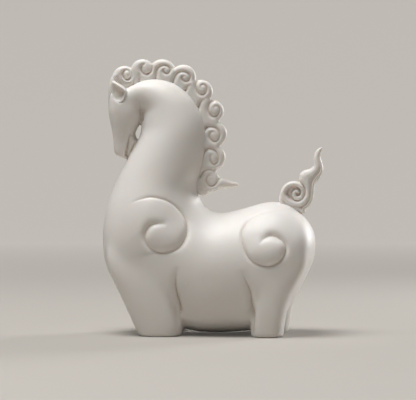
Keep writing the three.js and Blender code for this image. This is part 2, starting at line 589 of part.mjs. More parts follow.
function flankNormal(x, z) {
  const reach = 3;
  const slopeX = (flankY(x + reach, z) - flankY(x - reach, z)) / (2 * reach);
  const slopeZ = (flankY(x, z + reach) - flankY(x, z - reach)) / (2 * reach);
  return new THREE.Vector3(slopeX, -1, slopeZ).normalize();
}

// A flank volute: a flattened roll laid on the flank, sunk in it by its own width
function volute(line, side) {
  const count = line.length + 2;
  const places = line.map((s) => new THREE.Vector3(s.at[0], 0, s.at[1]));
  const sizes = line.map((s, i) => new THREE.Vector3(i * 5, s.half, s.proud));
  const curve = new THREE.CatmullRomCurve3(places, false, 'centripetal');
  const sides = 10;
  const rings = [];
  for (let i = 0; i <= count; i += 1) {
    const t = i / count;
    const place = curve.getPoint(t);
    const size = smooth(sizes, t);
    const along = curve.getPoint(Math.min(1, t + 0.01)).sub(curve.getPoint(Math.max(0, t - 0.01)));
    place.y = flankY(place.x, place.z);
    const normal = flankNormal(place.x, place.z);
    const across = along.clone().cross(normal).normalize();
    rings.push(Array.from({ length: sides }, (unused, j) => {
      const angle = (j / sides) * TAU;
      const lift = Math.sin(angle) > 0 ? size.z : 2.5;
      const point = place.clone().addScaledVector(across, size.y * Math.cos(angle));
      point.addScaledVector(normal, lift * Math.sin(angle));
      point.y *= -side;
      return point;
    }));
  }
  return solid(loft(rings));
}

const skin = joined([
  trunk,
  ...LEGS.map(([levels, side]) => solid(loft(legRings(levels, side, 0, LEG_SIDES)))),
  ...[-1, 1].flatMap((side) => [volute(SHOULDER_VOLUTE, side), volute(HAUNCH_VOLUTE, side)]),
]);

// The hollow left by the slip, and the vent under the belly
const hollowStations = BODY_STATIONS.slice(HOLLOW_FROM, HOLLOW_TO + 1);
const hollow = joined([
  solid(loft(stationRings(hollowStations, BODY_FULLNESS, 14, 1, -WALL))),
  ...LEGS.map(([levels, side]) => solid(loft(legRings(levels.slice(0, -1), side, -WALL, HOLLOW_SIDES)))),
]);
const ventGeometry = new THREE.CylinderGeometry(VENT_RADIUS, VENT_RADIUS, 6 * WALL, 20);
ventGeometry.rotateX(Math.PI / 2);
ventGeometry.translate(VENT_X, 0, BODY_STATIONS[6].under[1]);
const bodyShell = skin.subtract(hollow).subtract(solid(ventGeometry));

// Head with its lower jaw, cut back to its seat on the neck and the chest
const headRings = (margin) => stationRings(HEAD_STATIONS, HEAD_FULLNESS, 20, 2, margin);
function headSolid(margin, lift = 0) {
  return joined([
    headRings(margin),
    stationRings(JAW_STATIONS, HEAD_FULLNESS, 12, 2, margin),
  ].map((rings) => solid(loft(rings).translate(0, 0, lift))));
}
const head = headSolid(0).subtract(grownTrunk);
const grownHead = headSolid(SEAT_GAP).add(headSolid(SEAT_GAP, SEAT_GAP));

// Forelock: the first curl, the tongue on the forehead and the combed root
function forelockSolid(margin) {
  return joined([
    lobe(FORELOCK_LOBE, FORELOCK_DEEP, margin),
    ribbon(FORELOCK_TONGUE, 1, margin),
    ribbon(FORELOCK_ROOT, 1, margin, 3.2),
  ]);
}
const combLines = Array.from({ length: COMB_LINES }, (unused, number) => {
  const share = number / (COMB_LINES - 1);
  return COMB_FIRST.map(([x, z], i) => [
    THREE.MathUtils.lerp(x, COMB_LAST[i][0], share),
    THREE.MathUtils.lerp(z, COMB_LAST[i][1], share),
    COMB_LINE_DEPTH,
    COMB_LINE_WIDTH,
  ]);
});
const forelock = grooved(forelockSolid(0), [FORELOCK_GROOVE, ...combLines], FORELOCK_DEEP)
  .subtract(grownTrunk)
  .subtract(grownHead);
const grownForelock = forelockSolid(SEAT_GAP);

// Comb of the mane
const maneCrest = grooved(joined([
  ribbon(CREST, 1, 0, 3.2),
  ...MANE_LOBES.map((spec, i) => lobe(spec, MANE_DEEP - i * LOBE_THINNING)),
  ribbon(FLICK, 2),
]), MANE_GROOVES, MANE_DEEP)
  .subtract(grownTrunk)
  .subtract(grownHead)
  .subtract(grownForelock);

// Tail, seated on the rump
const tail = joined([
  ribbon(TAIL_STRAND),
  ribbon(TAIL_COIL),
  ribbon(TAIL_BAND),
  ribbon(TAIL_ROOT),
  ribbon(TAIL_CORE),
  lobe(TAIL_PLATE, TAIL_WEB),
]).subtract(grownTrunk);

// Ears: a cupped leaf on each side of the head. Each ring is the rim drawn in by a share, at a height from the rim.
function ear(side) {
  const corners = EAR_RIM.map((p) => new THREE.Vector3(...p));
  const rim = new THREE.CatmullRomCurve3(corners, true).getPoints(16).slice(0, -1);
  const centre = rim.reduce((sum, p) => sum.add(p), new THREE.Vector3()).divideScalar(rim.length);
  const ringAt = (share, yOf) => rim.map((p) => new THREE.Vector3(
    centre.x + (p.x - centre.x) * share,
    -side * yOf(p.y),
    centre.z + (p.z - centre.z) * share,
  ));
  const leaf = loft([
    ringAt(0.7, () => EAR_ROOT_Y),
    ringAt(1, (y) => Math.min(y + 1.7, EAR_ROOT_Y - 0.4)),
    ringAt(0.99, (y) => y),
  ]);
  const bowl = loft([
    ringAt(0.93, (y) => y - 1.5),
    ringAt(0.85, (y) => y + 0.3),
    ringAt(0.66, (y) => Math.min(y + EAR_HOLLOW, EAR_ROOT_Y - 1.2)),
  ]);
  return solid(leaf).subtract(solid(bowl)).subtract(grownHead).subtract(grownTrunk).subtract(grownForelock);
}

const horse = new THREE.Group();
horse.name = 'porcelain_horse';
for (const [name, made] of [
  ['body_shell', bodyShell],
  ['head', head],
  ['left_ear', ear(-1)],
  ['right_ear', ear(1)],
  ['forelock', forelock],
  ['mane_crest', maneCrest],
  ['tail', tail],
]) {
  const glazed = new THREE.MeshStandardMaterial({ color: PORCELAIN, roughness: 0.45, metalness: 0 });
  const geometry = geometryOf(made);
  geometry.scale(LENGTH / DRAWN.length, WIDTH / DRAWN.width, HEIGHT / DRAWN.height);
  const mesh = new THREE.Mesh(geometry, glazed);
  mesh.name = name;
  horse.add(mesh);
}

export default horse;
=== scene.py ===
# %% [markdown]
# # A porcelain horse
# The figurine is slip-cast porcelain: plaster moulds give a hollow body, and the head, the ears, the forelock, the
# comb of the mane and the tail are luted on with wet slip and smoothed over before the firing. So nothing on it is
# sharp: every edge is a soft round one, and every groove has a thin dark bottom. This lesson models it the way a
# figure maker would: rough volumes first, then one smooth skin over them, then the carving.
#
# The frame that the pieces must fit comes first.

# %% The frame
import json
import math
import bmesh
import bpy
import numpy as np
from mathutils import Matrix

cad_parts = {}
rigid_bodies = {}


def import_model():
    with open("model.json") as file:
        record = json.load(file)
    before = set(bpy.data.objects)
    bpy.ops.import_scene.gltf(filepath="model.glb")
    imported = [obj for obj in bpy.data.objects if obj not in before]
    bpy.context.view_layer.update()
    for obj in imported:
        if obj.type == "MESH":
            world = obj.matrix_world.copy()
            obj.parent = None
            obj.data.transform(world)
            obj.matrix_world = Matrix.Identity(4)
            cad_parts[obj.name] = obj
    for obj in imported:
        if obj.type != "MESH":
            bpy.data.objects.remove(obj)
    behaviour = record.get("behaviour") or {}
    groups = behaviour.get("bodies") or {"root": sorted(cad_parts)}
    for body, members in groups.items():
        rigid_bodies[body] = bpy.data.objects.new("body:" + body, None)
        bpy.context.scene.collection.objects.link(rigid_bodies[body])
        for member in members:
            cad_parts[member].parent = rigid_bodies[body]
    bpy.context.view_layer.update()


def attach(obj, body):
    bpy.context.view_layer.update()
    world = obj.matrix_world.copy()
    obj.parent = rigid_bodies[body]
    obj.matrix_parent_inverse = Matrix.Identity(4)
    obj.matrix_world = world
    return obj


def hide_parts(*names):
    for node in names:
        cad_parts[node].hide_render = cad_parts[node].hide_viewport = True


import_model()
MM = 0.001

# %% [markdown]
# ## The camera
# A long lens from far off keeps the horse's proportions true. The camera stands a little behind the middle of the
# left flank and a little above its middle height, so that the far hind leg shows a sliver past the near one.

# %% Camera
VIEW_AZIMUTH = math.radians(7.0)
VIEW_ELEVATION = math.radians(1.0)
VIEW_DISTANCE = 1.40
VIEW_TARGET = np.array([-3.55, 0.0, 89.8]) * MM
LENS_MM = 180.0

towards = np.array([
    math.sin(VIEW_AZIMUTH) * math.cos(VIEW_ELEVATION),
    -math.cos(VIEW_AZIMUTH) * math.cos(VIEW_ELEVATION),
    math.sin(VIEW_ELEVATION),
])
bpy.ops.object.camera_add(
    location=VIEW_TARGET + towards * VIEW_DISTANCE,
    rotation=(math.pi / 2 - VIEW_ELEVATION, 0.0, VIEW_AZIMUTH),
)
camera = bpy.context.object
camera.name = "portrait_camera"
camera.data.lens = LENS_MM
bpy.context.scene.camera = camera
print("camera at", [round(v, 3) for v in camera.location])

# %% [markdown]
# ## Flowing lines
# A form like this is described by a few stations, such as the rings of a barrel. The numbers between two stations
# have to flow, so a Catmull-Rom curve is drawn through them. An oval that is a little fuller than an ellipse gives
# the plump look of a cast body.

# %% Helpers for stations and rings
def flowing(rows, steps):
    """The rows with smooth ones put between them: `steps` for each gap."""
    rows = np.array(rows, float)
    padded = np.vstack([2 * rows[0] - rows[1], rows, 2 * rows[-1] - rows[-2]])
    smooth = []
    for first in range(len(rows) - 1):
        before, start, end, after = padded[first:first + 4]
        for step in range(steps):
            t = step / steps
            smooth.append(0.5 * (
                2 * start + (end - before) * t + (2 * before - 5 * start + 4 * end - after) * t ** 2
                + (3 * start - before - 3 * end + after) * t ** 3
            ))
    smooth.append(rows[-1])
    return np.array(smooth)


def oval(sides, fullness, under_fullness=None):
    """Cosine-like and sine-like values round an oval: 2 is an ellipse, more is fuller. The half under the middle may
    be fuller than the upper one."""
    angles = np.arange(sides) / sides * 2 * math.pi
    power = np.where(np.cos(angles) < 0, 2 / (under_fullness or fullness), 2 / fullness)
    rise, reach = (np.sign(v) * np.abs(v) ** power for v in (np.cos(angles), np.sin(angles)))
    return rise, reach


def upright_rings(stations, steps, sides):
    """Rings of a form given by a back line and an under line (x and z in mm), a half width, how far up it is widest,
    and how full it is under and over its middle."""
    rings = []
    for back_x, back_z, under_x, under_z, half, widest, under_fullness, fullness in flowing(stations, steps):
        rise, reach = oval(sides, fullness, under_fullness)
        back = np.array([back_x, 0, back_z])
        under = np.array([under_x, 0, under_z])
        middle = under + (back - under) * widest
        ends = np.where(rise[:, None] > 0, back - middle, under - middle)
        ring = middle + ends * np.abs(rise)[:, None]
        ring[:, 1] = half * reach
        rings.append(ring * MM)
    return rings


print("a ring of 8:", np.round(oval(8, 2.2)[0], 2))

# %% [markdown]
# ## Drawing out a form
# In Blender a rounded limb is drawn out by hand: a filled circle is added, and then extruded once for each further
# ring, with the new ring put into its place. The helper does just that.

# %% Helper that draws out a form
def draw_out(name, rings):
    """A closed form through the rings, made by one extrusion for each of them."""
    bpy.ops.mesh.primitive_circle_add(vertices=len(rings[0]), radius=MM, fill_type="NGON")
    form = bpy.context.object
    form.name = name
    bpy.ops.object.mode_set(mode="EDIT")
    mesh = bmesh.from_edit_mesh(form.data)
    mesh.verts.ensure_lookup_table()
    for vertex, place in zip(mesh.verts, rings[0]):
        vertex.co = place
    bmesh.update_edit_mesh(form.data)
    for last, ring in zip(rings, rings[1:]):
        bpy.ops.mesh.extrude_region_move()
        mesh = bmesh.from_edit_mesh(form.data)
        drawn = [v for v in mesh.verts if v.select]
        for vertex in drawn:
            index = int(np.argmin(((last - np.array(vertex.co)) ** 2).sum(1)))
            vertex.co = ring[index]
        bmesh.update_edit_mesh(form.data)
    bpy.ops.mesh.select_all(action="SELECT")
    bpy.ops.mesh.normals_make_consistent(inside=False)
    bpy.ops.object.mode_set(mode="OBJECT")
    return form


def only(*objects):
    """Selects just these objects, the first one active."""
    bpy.ops.object.select_all(action="DESELECT")
    for each in objects:
        each.select_set(True)
    bpy.context.view_layer.objects.active = objects[0]


def apply_modifier(piece, kind, **settings):
    """Adds a modifier with its settings and applies it."""
    only(piece)
    modifier = piece.modifiers.new(kind.title(), kind)
    for key, value in settings.items():
        setattr(modifier, key, value)
    bpy.ops.object.modifier_apply(modifier=modifier.name)


def fuse(name, forms, voxel_mm):
    """Joins overlapping forms and lays one closed skin over them."""
    only(*forms)
    bpy.ops.object.join()
    skin = bpy.context.object
    skin.name = name
    apply_modifier(skin, "REMESH", mode="VOXEL", voxel_size=voxel_mm * MM)
    return skin


# %% [markdown]
# ## The trunk and the neck
# One form runs from the rump along the belly and up the neck to the poll. Its rings fan out round the withers. The
# belly hangs down to a hair above the ground between the legs.

# %% Trunk and neck
TRUNK = [  # back x, back z, under x, under z, half width, widest, fullness under and over the middle
    (69.2, 62.5, 68.9, 59.5, 2.0, 0.5, 2.1, 2.0),
    (66.8, 71.0, 67.2, 49.0, 19.5, 0.5, 2.3, 2.0),
    (61.8, 78.6, 60.9, 35.6, 29.2, 0.5, 2.6, 2.0),
    (51.6, 86.3, 50.6, 16.6, 34.2, 0.5, 3.4, 2.0),
    (38.0, 88.6, 35.0, 5.0, 36.1, 0.5, 3.0, 2.0),
    (22.0, 84.6, 17.0, 1.9, 36.7, 0.5, 2.5, 2.0),
    (6.8, 81.2, 2.0, 1.2, 36.8, 0.5, 2.5, 2.05),
    (-1.5, 82.6, -14.0, 2.3, 36.5, 0.48, 2.5, 2.05),
    (-6.7, 86.6, -36.0, 9.0, 36.3, 0.46, 2.45, 2.05),
    (-9.6, 91.5, -58.0, 23.5, 36.1, 0.43, 2.4, 2.05),
    (-10.7, 98.4, -71.0, 42.5, 36.0, 0.42, 2.35, 2.0),
    (-9.7, 104.7, -74.4, 61.0, 34.0, 0.43, 2.3, 1.95),
    (-8.1, 110.0, -73.1, 80.0, 30.6, 0.46, 2.2, 2.0),
    (-6.0, 117.8, -66.9, 99.2, 26.8, 0.48, 2.1, 2.0),
    (-5.0, 127.0, -59.6, 114.2, 24.2, 0.5, 2.05, 2.0),
    (-4.9, 136.0, -53.2, 125.6, 22.1, 0.5, 2.0, 2.0),
    (-6.1, 143.6, -49.2, 134.8, 20.0, 0.5, 2.0, 2.0),
    (-9.3, 151.4, -48.6, 142.2, 18.1, 0.5, 2.0, 2.0),
    (-14.8, 159.6, -48.4, 149.6, 16.2, 0.5, 2.0, 2.0),
    (-23.8, 167.3, -54.5, 152.0, 14.8, 0.5, 2.0, 2.0),
    (-36.0, 171.6, -61.0, 153.6, 13.5, 0.5, 2.0, 2.0),
    (-46.5, 171.0, -61.0, 156.6, 12.6, 0.5, 2.0, 2.0),
    (-53.4, 168.0, -60.4, 158.8, 9.6, 0.5, 2.0, 2.0),
    (-58.8, 165.2, -61.6, 161.0, 4.4, 0.5, 2.0, 2.0),
]
trunk = draw_out("trunk", upright_rings(TRUNK, 3, 64))
print("trunk:", len(trunk.data.vertices), "corners")

# %% [markdown]
# ## The legs
# Each leg is a stout lobe, drawn up from a flat sole with a rounded rim into the flank. The tops sink into the body,
# where the skin will blend them.

# %% Legs
FRONT_LEG = [  # z, front x, rear x, inner y, outer y
    (0.0, -47.0, -18.7, 6.0, 34.9),
    (7.0, -50.2, -17.4, 5.5, 35.6),
    (16.0, -54.3, -18.6, 5.5, 36.2),
    (28.3, -60.4, -20.4, 6.0, 36.4),
    (38.0, -65.2, -21.2, 8.0, 35.9),
    (48.0, -68.6, -22.4, 11.0, 34.4),
    (58.0, -68.0, -27.0, 15.0, 31.0),
    (66.0, -60.0, -36.0, 19.0, 25.0),
]
HIND_LEG = [
    (0.0, 28.0, 49.0, 6.5, 34.6),
    (7.0, 27.6, 49.8, 6.0, 35.2),
    (16.0, 28.0, 51.4, 6.0, 35.8),
    (25.7, 27.6, 54.4, 6.5, 36.0),
    (35.0, 26.2, 59.2, 8.0, 35.6),
    (45.0, 25.0, 64.2, 11.0, 33.8),
    (54.0, 28.0, 65.6, 14.0, 30.6),
    (62.0, 36.0, 60.0, 17.0, 24.0),
]
LEG_SIDES = 40
LEG_FULLNESS = 2.7
SOLE_EDGE = 1.4  # radius of the rounded rim of a sole (mm)


def leg_rings(levels, side):
    """Level rings of a leg, with the sole's edge rounded by a quarter circle."""
    rise, reach = oval(LEG_SIDES, LEG_FULLNESS)
    rows = flowing(levels, 4)
    rings = []
    rim = [(SOLE_EDGE * (1 - math.sin(a)), SOLE_EDGE * (1 - math.cos(a))) for a in np.radians([0, 30, 60, 90])]
    for inset, height in rim:
        rings.append((rows[0] + (rows[1] - rows[0]) * height / rows[1][0], height, inset))
    rings += [(row, row[0], 0.0) for row in rows if row[0] > 2 * SOLE_EDGE]
    out = []
    for (_, front, rear, inner, outer), height, inset in rings:
        ring = np.zeros((LEG_SIDES, 3))
        ring[:, 0] = (front + rear) / 2 + ((rear - front) / 2 - inset) * rise
        ring[:, 1] = side * ((inner + outer) / 2 + ((outer - inner) / 2 - inset) * reach)
        ring[:, 2] = height
        out.append(ring * MM)
    return out


legs = [
    draw_out(f"{name}_leg_{'left' if side < 0 else 'right'}", leg_rings(levels, side))
    for name, levels in (("front", FRONT_LEG), ("hind", HIND_LEG))
    for side in (-1, 1)
]
print("legs:", [leg.name for leg in legs])

# %% [markdown]
# ## The head
# The head hangs straight down from the poll and tapers to a blunt muzzle. The lower jaw is a thin strip behind the
# mouth crease, and rests on the chest. Between the jaw and the throat a small eye-shaped gap stays open.

# %% Head and lower jaw
HEAD = [  # back x, back z, front x, front z, half width, widest, fullness before and behind the middle
    (-58.0, 163.6, -67.4, 164.4, 3.0, 0.5, 2.2, 2.2),
    (-53.0, 164.0, -69.2, 164.2, 8.0, 0.5, 2.2, 2.2),
    (-49.5, 162.4, -70.3, 162.4, 11.0, 0.5, 2.3, 2.2),
    (-47.2, 158.8, -70.7, 159.0, 12.6, 0.52, 2.3, 2.2),
    (-46.2, 153.8, -71.0, 154.0, 13.0, 0.55, 2.4, 2.2),
    (-46.8, 148.0, -70.9, 149.0, 12.6, 0.56, 2.5, 2.2),
    (-49.4, 142.2, -69.9, 142.8, 11.4, 0.55, 2.6, 2.2),
    (-52.8, 136.0, -68.4, 136.0, 9.8, 0.54, 2.6, 2.2),
    (-55.6, 129.0, -67.6, 129.0, 8.4, 0.52, 2.6, 2.2),
    (-56.9, 122.4, -67.2, 123.0, 7.9, 0.5, 2.6, 2.2),
    (-57.4, 118.4, -66.5, 120.6, 7.0, 0.5, 2.5, 2.2),
    (-58.6, 117.4, -65.4, 119.9, 5.0, 0.5, 2.4, 2.2),
]
JAW = [
    (-54.2, 139.6, -60.0, 140.0, 7.6, 0.5, 2.2, 2.2),
    (-53.2, 135.0, -62.0, 135.4, 7.4, 0.5, 2.2, 2.2),
    (-52.0, 130.6, -62.0, 131.0, 7.0, 0.5, 2.2, 2.2),
    (-50.6, 127.0, -62.0, 127.4, 6.6, 0.5, 2.2, 2.2),
    (-51.0, 122.0, -62.0, 122.6, 6.0, 0.5, 2.2, 2.2),
    (-53.4, 117.2, -61.0, 119.6, 5.0, 0.5, 2.2, 2.2),
]
skull = draw_out("skull", upright_rings(HEAD, 3, 40))
jaw = draw_out("jaw", upright_rings(JAW, 3, 24))
print("skull and jaw:", len(skull.data.vertices), "and", len(jaw.data.vertices), "corners")

# %% [markdown]
# ## One skin
# The potter wipes every joint with a wet sponge. The remesh does the same job: it lays one even skin over all the
# volumes. The skin is then relaxed a good deal where the leg tops meet the flank and where the head meets the neck,
# and only a little elsewhere, where it keeps its creases.

# %% The skin
def places_of(piece):
    """The places of a piece's corners in mm."""
    places = np.empty(len(piece.data.vertices) * 3)
    piece.data.vertices.foreach_get("co", places)
    return places.reshape(-1, 3) / MM


def put_places(piece, places):
    """Moves the corners to their places in mm."""
    piece.data.vertices.foreach_set("co", (places * MM).ravel())
    piece.data.update()


def relax(piece, rounds, weights=None):
    """Smooths the whole piece, or as much as the weights say."""
    if weights is None:
        weights = np.ones(len(piece.data.vertices))
    group = piece.vertex_groups.new(name="relax")
    for level in range(1, 11):
        chosen = np.flatnonzero(np.round(weights * 10) == level)
        group.add([int(i) for i in chosen], level / 10, "REPLACE")
    apply_modifier(piece, "SMOOTH", iterations=rounds, factor=0.5, vertex_group="relax")
    piece.vertex_groups.remove(piece.vertex_groups["relax"])


def ramp(values, low, high):
    """0 below low, 1 above high, smooth between (low may be the larger one)."""
    t = np.clip((values - low) / (high - low), 0, 1)
    return t * t * (3 - 2 * t)


X, Z = 0, 2
SOFT_ZONES = {  # the ramps of each zone: along x or z, where it is 0 and where it is 1 (mm)
    "shoulder": [(Z, 34, 48), (Z, 92, 74), (X, 10, -20)],
    "front of the front leg": [(Z, 14, 30), (Z, 92, 74), (X, -24, -32)],
    "haunch": [(Z, 32, 44), (Z, 88, 72), (X, 8, 26)],
    "rear of the hind leg": [(Z, 12, 28), (Z, 88, 72), (X, 32, 40)],
    "poll": [(Z, 149, 158), (X, -30, -40)],
}
SKIN_VOXEL = 0.95  # size of the skin's faces (mm)
SOFT_ROUNDS = 120
EVEN_ROUNDS = 4

figure = fuse("figure_skin", [trunk, *legs, skull, jaw], SKIN_VOXEL)
at = places_of(figure)
soft = np.max([
    np.prod([ramp(at[:, axis], low, high) for axis, low, high in zone], axis=0) for zone in SOFT_ZONES.values()
], axis=0)
relax(figure, SOFT_ROUNDS, soft)
relax(figure, EVEN_ROUNDS)
print("skin:", len(figure.data.polygons), "faces, soft at", ", ".join(SOFT_ZONES))

# %% [markdown]
# ## The flank volutes and the creases
# On each shoulder and haunch lies a volute in low relief: a thin step at its outer end that deepens into a groove
# round a domed head. A sculptor would press the groove with a wooden tool and round the clay beside it. The same is
# done here on the skin. Each line is given on the left flank as x, z, groove depth and groove width. What the line
# winds round is a low pillow, highest at its middle, that fades in along the flank, with round domes on it. The
# creases between legs and belly and at the mouth are pressed with the same tool. A soft hollow under the brow, the
# pit of each ear and the dip where the neck leaves the shoulders are pressed with the thumb.

# %% Lines, pillows and domes of the relief
SHOULDER_LINE = [  # x, z, depth, width
    (-51.7, 88.3, 0.0, 1.0), (-43.7, 91.1, 0.3, 0.9), (-36.2, 92.1, 0.5, 0.9), (-26.3, 89.4, 0.6, 0.9),
    (-18.7, 82.8, 0.7, 1.0), (-14.2, 75.2, 1.1, 1.4), (-14.2, 67.5, 1.7, 2.0), (-18.7, 59.8, 1.6, 2.0),
    (-28.5, 56.0, 1.2, 1.6), (-36.2, 57.6, 1.2, 1.5), (-40.7, 63.1, 1.6, 1.8), (-40.7, 68.6, 2.0, 2.1),
    (-37.4, 73.5, 2.0, 2.2), (-31.3, 74.6, 0.9, 1.8), (-27.0, 73.6, 0.0, 1.4),
]
SHOULDER_DOME = [  # x, z, half width, height
    (-23.6, 68.8, 9.6, 2.0), (-27.4, 66.2, 10.8, 2.6), (-31.8, 66.6, 9.6, 2.5), (-35.4, 68.2, 5.8, 1.9),
]
HAUNCH_LINE = [
    (52.0, 83.4, 0.0, 1.0), (42.0, 82.8, 0.3, 0.9), (32.1, 80.6, 0.5, 0.9), (25.5, 75.7, 0.6, 0.9),
    (22.4, 69.6, 0.7, 1.0), (23.3, 62.0, 0.8, 1.2), (26.6, 54.3, 1.0, 1.3), (32.1, 49.4, 1.1, 1.3),
    (39.9, 47.5, 1.2, 1.4), (47.5, 50.0, 1.3, 1.5), (51.5, 55.4, 1.4, 1.6), (51.5, 60.9, 1.7, 1.9),
    (47.5, 65.2, 2.1, 2.2), (42.0, 66.9, 2.0, 2.2), (37.1, 64.2, 0.8, 1.8), (34.8, 60.5, 0.0, 1.4),
]
HAUNCH_DOME = [(36.0, 57.6, 9.8, 1.9), (40.8, 56.8, 9.6, 2.5), (44.8, 58.4, 7.4, 2.3), (47.0, 61.0, 4.4, 1.7)]
VOLUTES = [  # line, dome, side of the line that the pillow is on, its middle, its height, where it fades in (x)
    (SHOULDER_LINE, SHOULDER_DOME, -1, (-28.5, 71.5), 2.1, (-56.0, -38.0)),
    (HAUNCH_LINE, HAUNCH_DOME, 1, (38.0, 62.5), 1.5, (58.0, 42.0)),
]
OUTER_ROWS = 9  # the first rows of a line, which bound the pillow from outside
LEG_CREASES = [  # x, z, depth, width towards the leg, width towards the belly
    [(-16.6, 1.0, 2.0, 2.6, 1.4), (-17.2, 6.0, 2.6, 2.8, 1.4), (-18.4, 14.0, 3.0, 3.0, 1.5),
     (-19.8, 22.0, 3.1, 3.0, 1.5), (-21.2, 31.0, 2.8, 2.6, 1.6), (-21.1, 37.0, 2.0, 2.4, 1.8),
     (-20.3, 42.0, 0.9, 2.4, 2.2), (-19.6, 47.0, 0.0, 2.6, 2.6)],
    [(28.6, 1.0, 2.0, 1.6, 2.0), (28.8, 6.0, 2.4, 1.6, 2.2), (29.4, 14.0, 2.8, 1.6, 2.4),
     (29.5, 22.0, 2.8, 1.6, 2.6), (28.8, 29.5, 2.4, 1.7, 2.6), (26.9, 35.5, 1.6, 1.9, 2.6),
     (24.6, 40.5, 0.7, 2.3, 2.8), (22.0, 45.0, 0.0, 2.6, 3.0)],
]
BELLY_DENT = 2.6  # how far the belly falls back from the legs beside the creases
CREASES = [  # the mouth, the edge of the jaw and the back of the cheek: x, z, depth, width
    [(-58.4, 117.6, 1.4, 0.75), (-58.1, 121.0, 2.0, 0.75), (-57.5, 125.0, 1.9, 0.75), (-56.7, 129.5, 1.3, 0.75),
     (-55.8, 133.0, 0.6, 0.8), (-55.2, 136.0, 0.0, 0.8)],
    [(-57.6, 118.8, 0.5, 0.7), (-55.8, 121.9, 1.1, 0.75), (-53.9, 125.3, 1.3, 0.8), (-52.2, 128.4, 0.8, 0.8),
     (-51.0, 130.8, 0.0, 0.8)],
    [(-47.4, 143.5, 1.2, 0.9), (-47.8, 147.0, 1.2, 0.9), (-48.1, 150.5, 1.0, 1.0), (-48.4, 154.0, 0.5, 1.3),
     (-48.6, 157.0, 0.0, 1.6)],
]
BROW = (-58.6, 152.6, 6.0, 7.0, 0.7, 2)  # a dent: x, z, half width, half height, depth, how steep its rim is
EAR_PIT = (-62.4, 161.4, 3.7, 5.4, 4.0, 4.5)
EAR_LEAN = math.radians(18)
NECK_DIP = (-19.5, 99.0, 15, 9, 1.4, 2)
FLANK = (12, 20)  # how far from the middle plane the relief of the flanks starts and is full (mm)
OUTER_FLANK = (27, 32)  # the same for the creases between legs and belly
MUZZLE_SIDE = (2, 5)
CHEEK = (3, 7)
NECK_SIDE = (4, 12)
print("relief:", len(VOLUTES), "volutes and", len(LEG_CREASES) + len(CREASES), "creases on each side")

# %% [markdown]
# ## Finer skin under the tool
# A groove only stays crisp on a skin that is finer than the groove is wide. So the faces near the lines, and those
# under the ears, are subdivided before anything is pressed.

# %% Finer skin
def nearest(points, line):
    """For each point (x, z) the distance to a line of close samples, and the nearest sample's number."""
    far = np.full(len(points), 1e9)
    which = np.zeros(len(points), int)
    for index, sample in enumerate(line[:, :2]):
        d = np.hypot(points[:, 0] - sample[0], points[:, 1] - sample[1])
        closer = d < far
        far[closer] = d[closer]
        which[closer] = index
    return far, which


def outward_of(piece):
    """The outward directions at a piece's corners."""
    directions = np.empty(len(piece.data.vertices) * 3)
    piece.data.vertex_normals.foreach_get("vector", directions)
    return directions.reshape(-1, 3)


def open_faces(piece, picked):
    """Opens a piece for editing, with just the picked faces selected."""
    only(piece)
    bpy.ops.object.mode_set(mode="EDIT")
    bpy.ops.mesh.select_all(action="DESELECT")
    bpy.ops.object.mode_set(mode="OBJECT")
    piece.data.polygons.foreach_set("select", picked)
    bpy.ops.object.mode_set(mode="EDIT")
    bpy.ops.mesh.select_mode(type="FACE")


def refine(piece, chosen):
    """Subdivides the faces whose corners are all among the chosen ones."""
    corners = np.empty(len(piece.data.loops), int)
    piece.data.loops.foreach_get("vertex_index", corners)
    starts = np.empty(len(piece.data.polygons), int)
    piece.data.polygons.foreach_get("loop_start", starts)
    picked = np.add.reduceat(chosen[corners].astype(int), starts) == np.diff(np.append(starts, len(corners)))
    open_faces(piece, picked)
    bpy.ops.mesh.subdivide(number_cuts=1, smoothness=0)
    bpy.ops.object.mode_set(mode="OBJECT")
    return int(picked.sum())


def refine_along(piece, lines, reach, least_y):
    """Subdivides the faces near the lines, on both sides of the piece."""
    at = places_of(piece)
    far = np.min([nearest(at[:, [0, 2]], flowing(line, 6))[0] for line in lines], axis=0)
    return refine(piece, (far < reach) & (np.abs(at[:, 1]) > least_y))


VOLUTE_LINES = [volute[0] for volute in VOLUTES]
FINER = [  # where, the lines, how near them and how far from the middle plane (mm)
    ("along the volutes", VOLUTE_LINES, 4.0, 14),
    ("along volutes and legs", VOLUTE_LINES + LEG_CREASES, 2.6, 12),
    ("along the legs", LEG_CREASES, 1.8, 12),
    ("along the head's creases", CREASES, 2.6, 2),
    ("along the mouth", CREASES[:2], 1.6, 2),
]
UNDER_EAR = (-62.6, 161.4, 8.5, 3)  # x, z, radius, and how far from the middle plane

for where, lines, reach, least_y in FINER:
    print("refined", refine_along(figure, lines, reach, least_y), "faces", where)
at = places_of(figure)
from_ear = np.hypot(at[:, 0] - UNDER_EAR[0], at[:, 2] - UNDER_EAR[1])
under_ear = (from_ear < UNDER_EAR[2]) & (np.abs(at[:, 1]) > UNDER_EAR[3])
print("refined", refine(figure, under_ear), "faces under the ears")

# %% [markdown]
# ## Pressing the relief
# Every corner of the skin is now lifted or sunk along its own outward direction, by the sum of all that was listed.
# Where something was pressed the skin is evened out a little, and a little more at the bottom of the leg creases.

# %% Pressing the relief
def sideways(at, start, full):
    """0 near the middle plane and 1 further out than full, on both sides of the piece."""
    return ramp(np.abs(at[:, 1]), start, full)


def groove(far, width, steepness=1.6):
    """The share of its depth that a groove has at a distance from its line."""
    return np.exp(-(far / width) ** steepness)


def dent(at, x, z, half_width, half_height, depth, steepness, lean=0.0):
    """How deep a round dent is at each place."""
    from_x, from_z = at[:, 0] - x, at[:, 2] - z
    across = from_x * math.cos(lean) + from_z * math.sin(lean)
    along = from_z * math.cos(lean) - from_x * math.sin(lean)
    return depth * np.exp(-np.hypot(across / half_width, along / half_height) ** steepness)


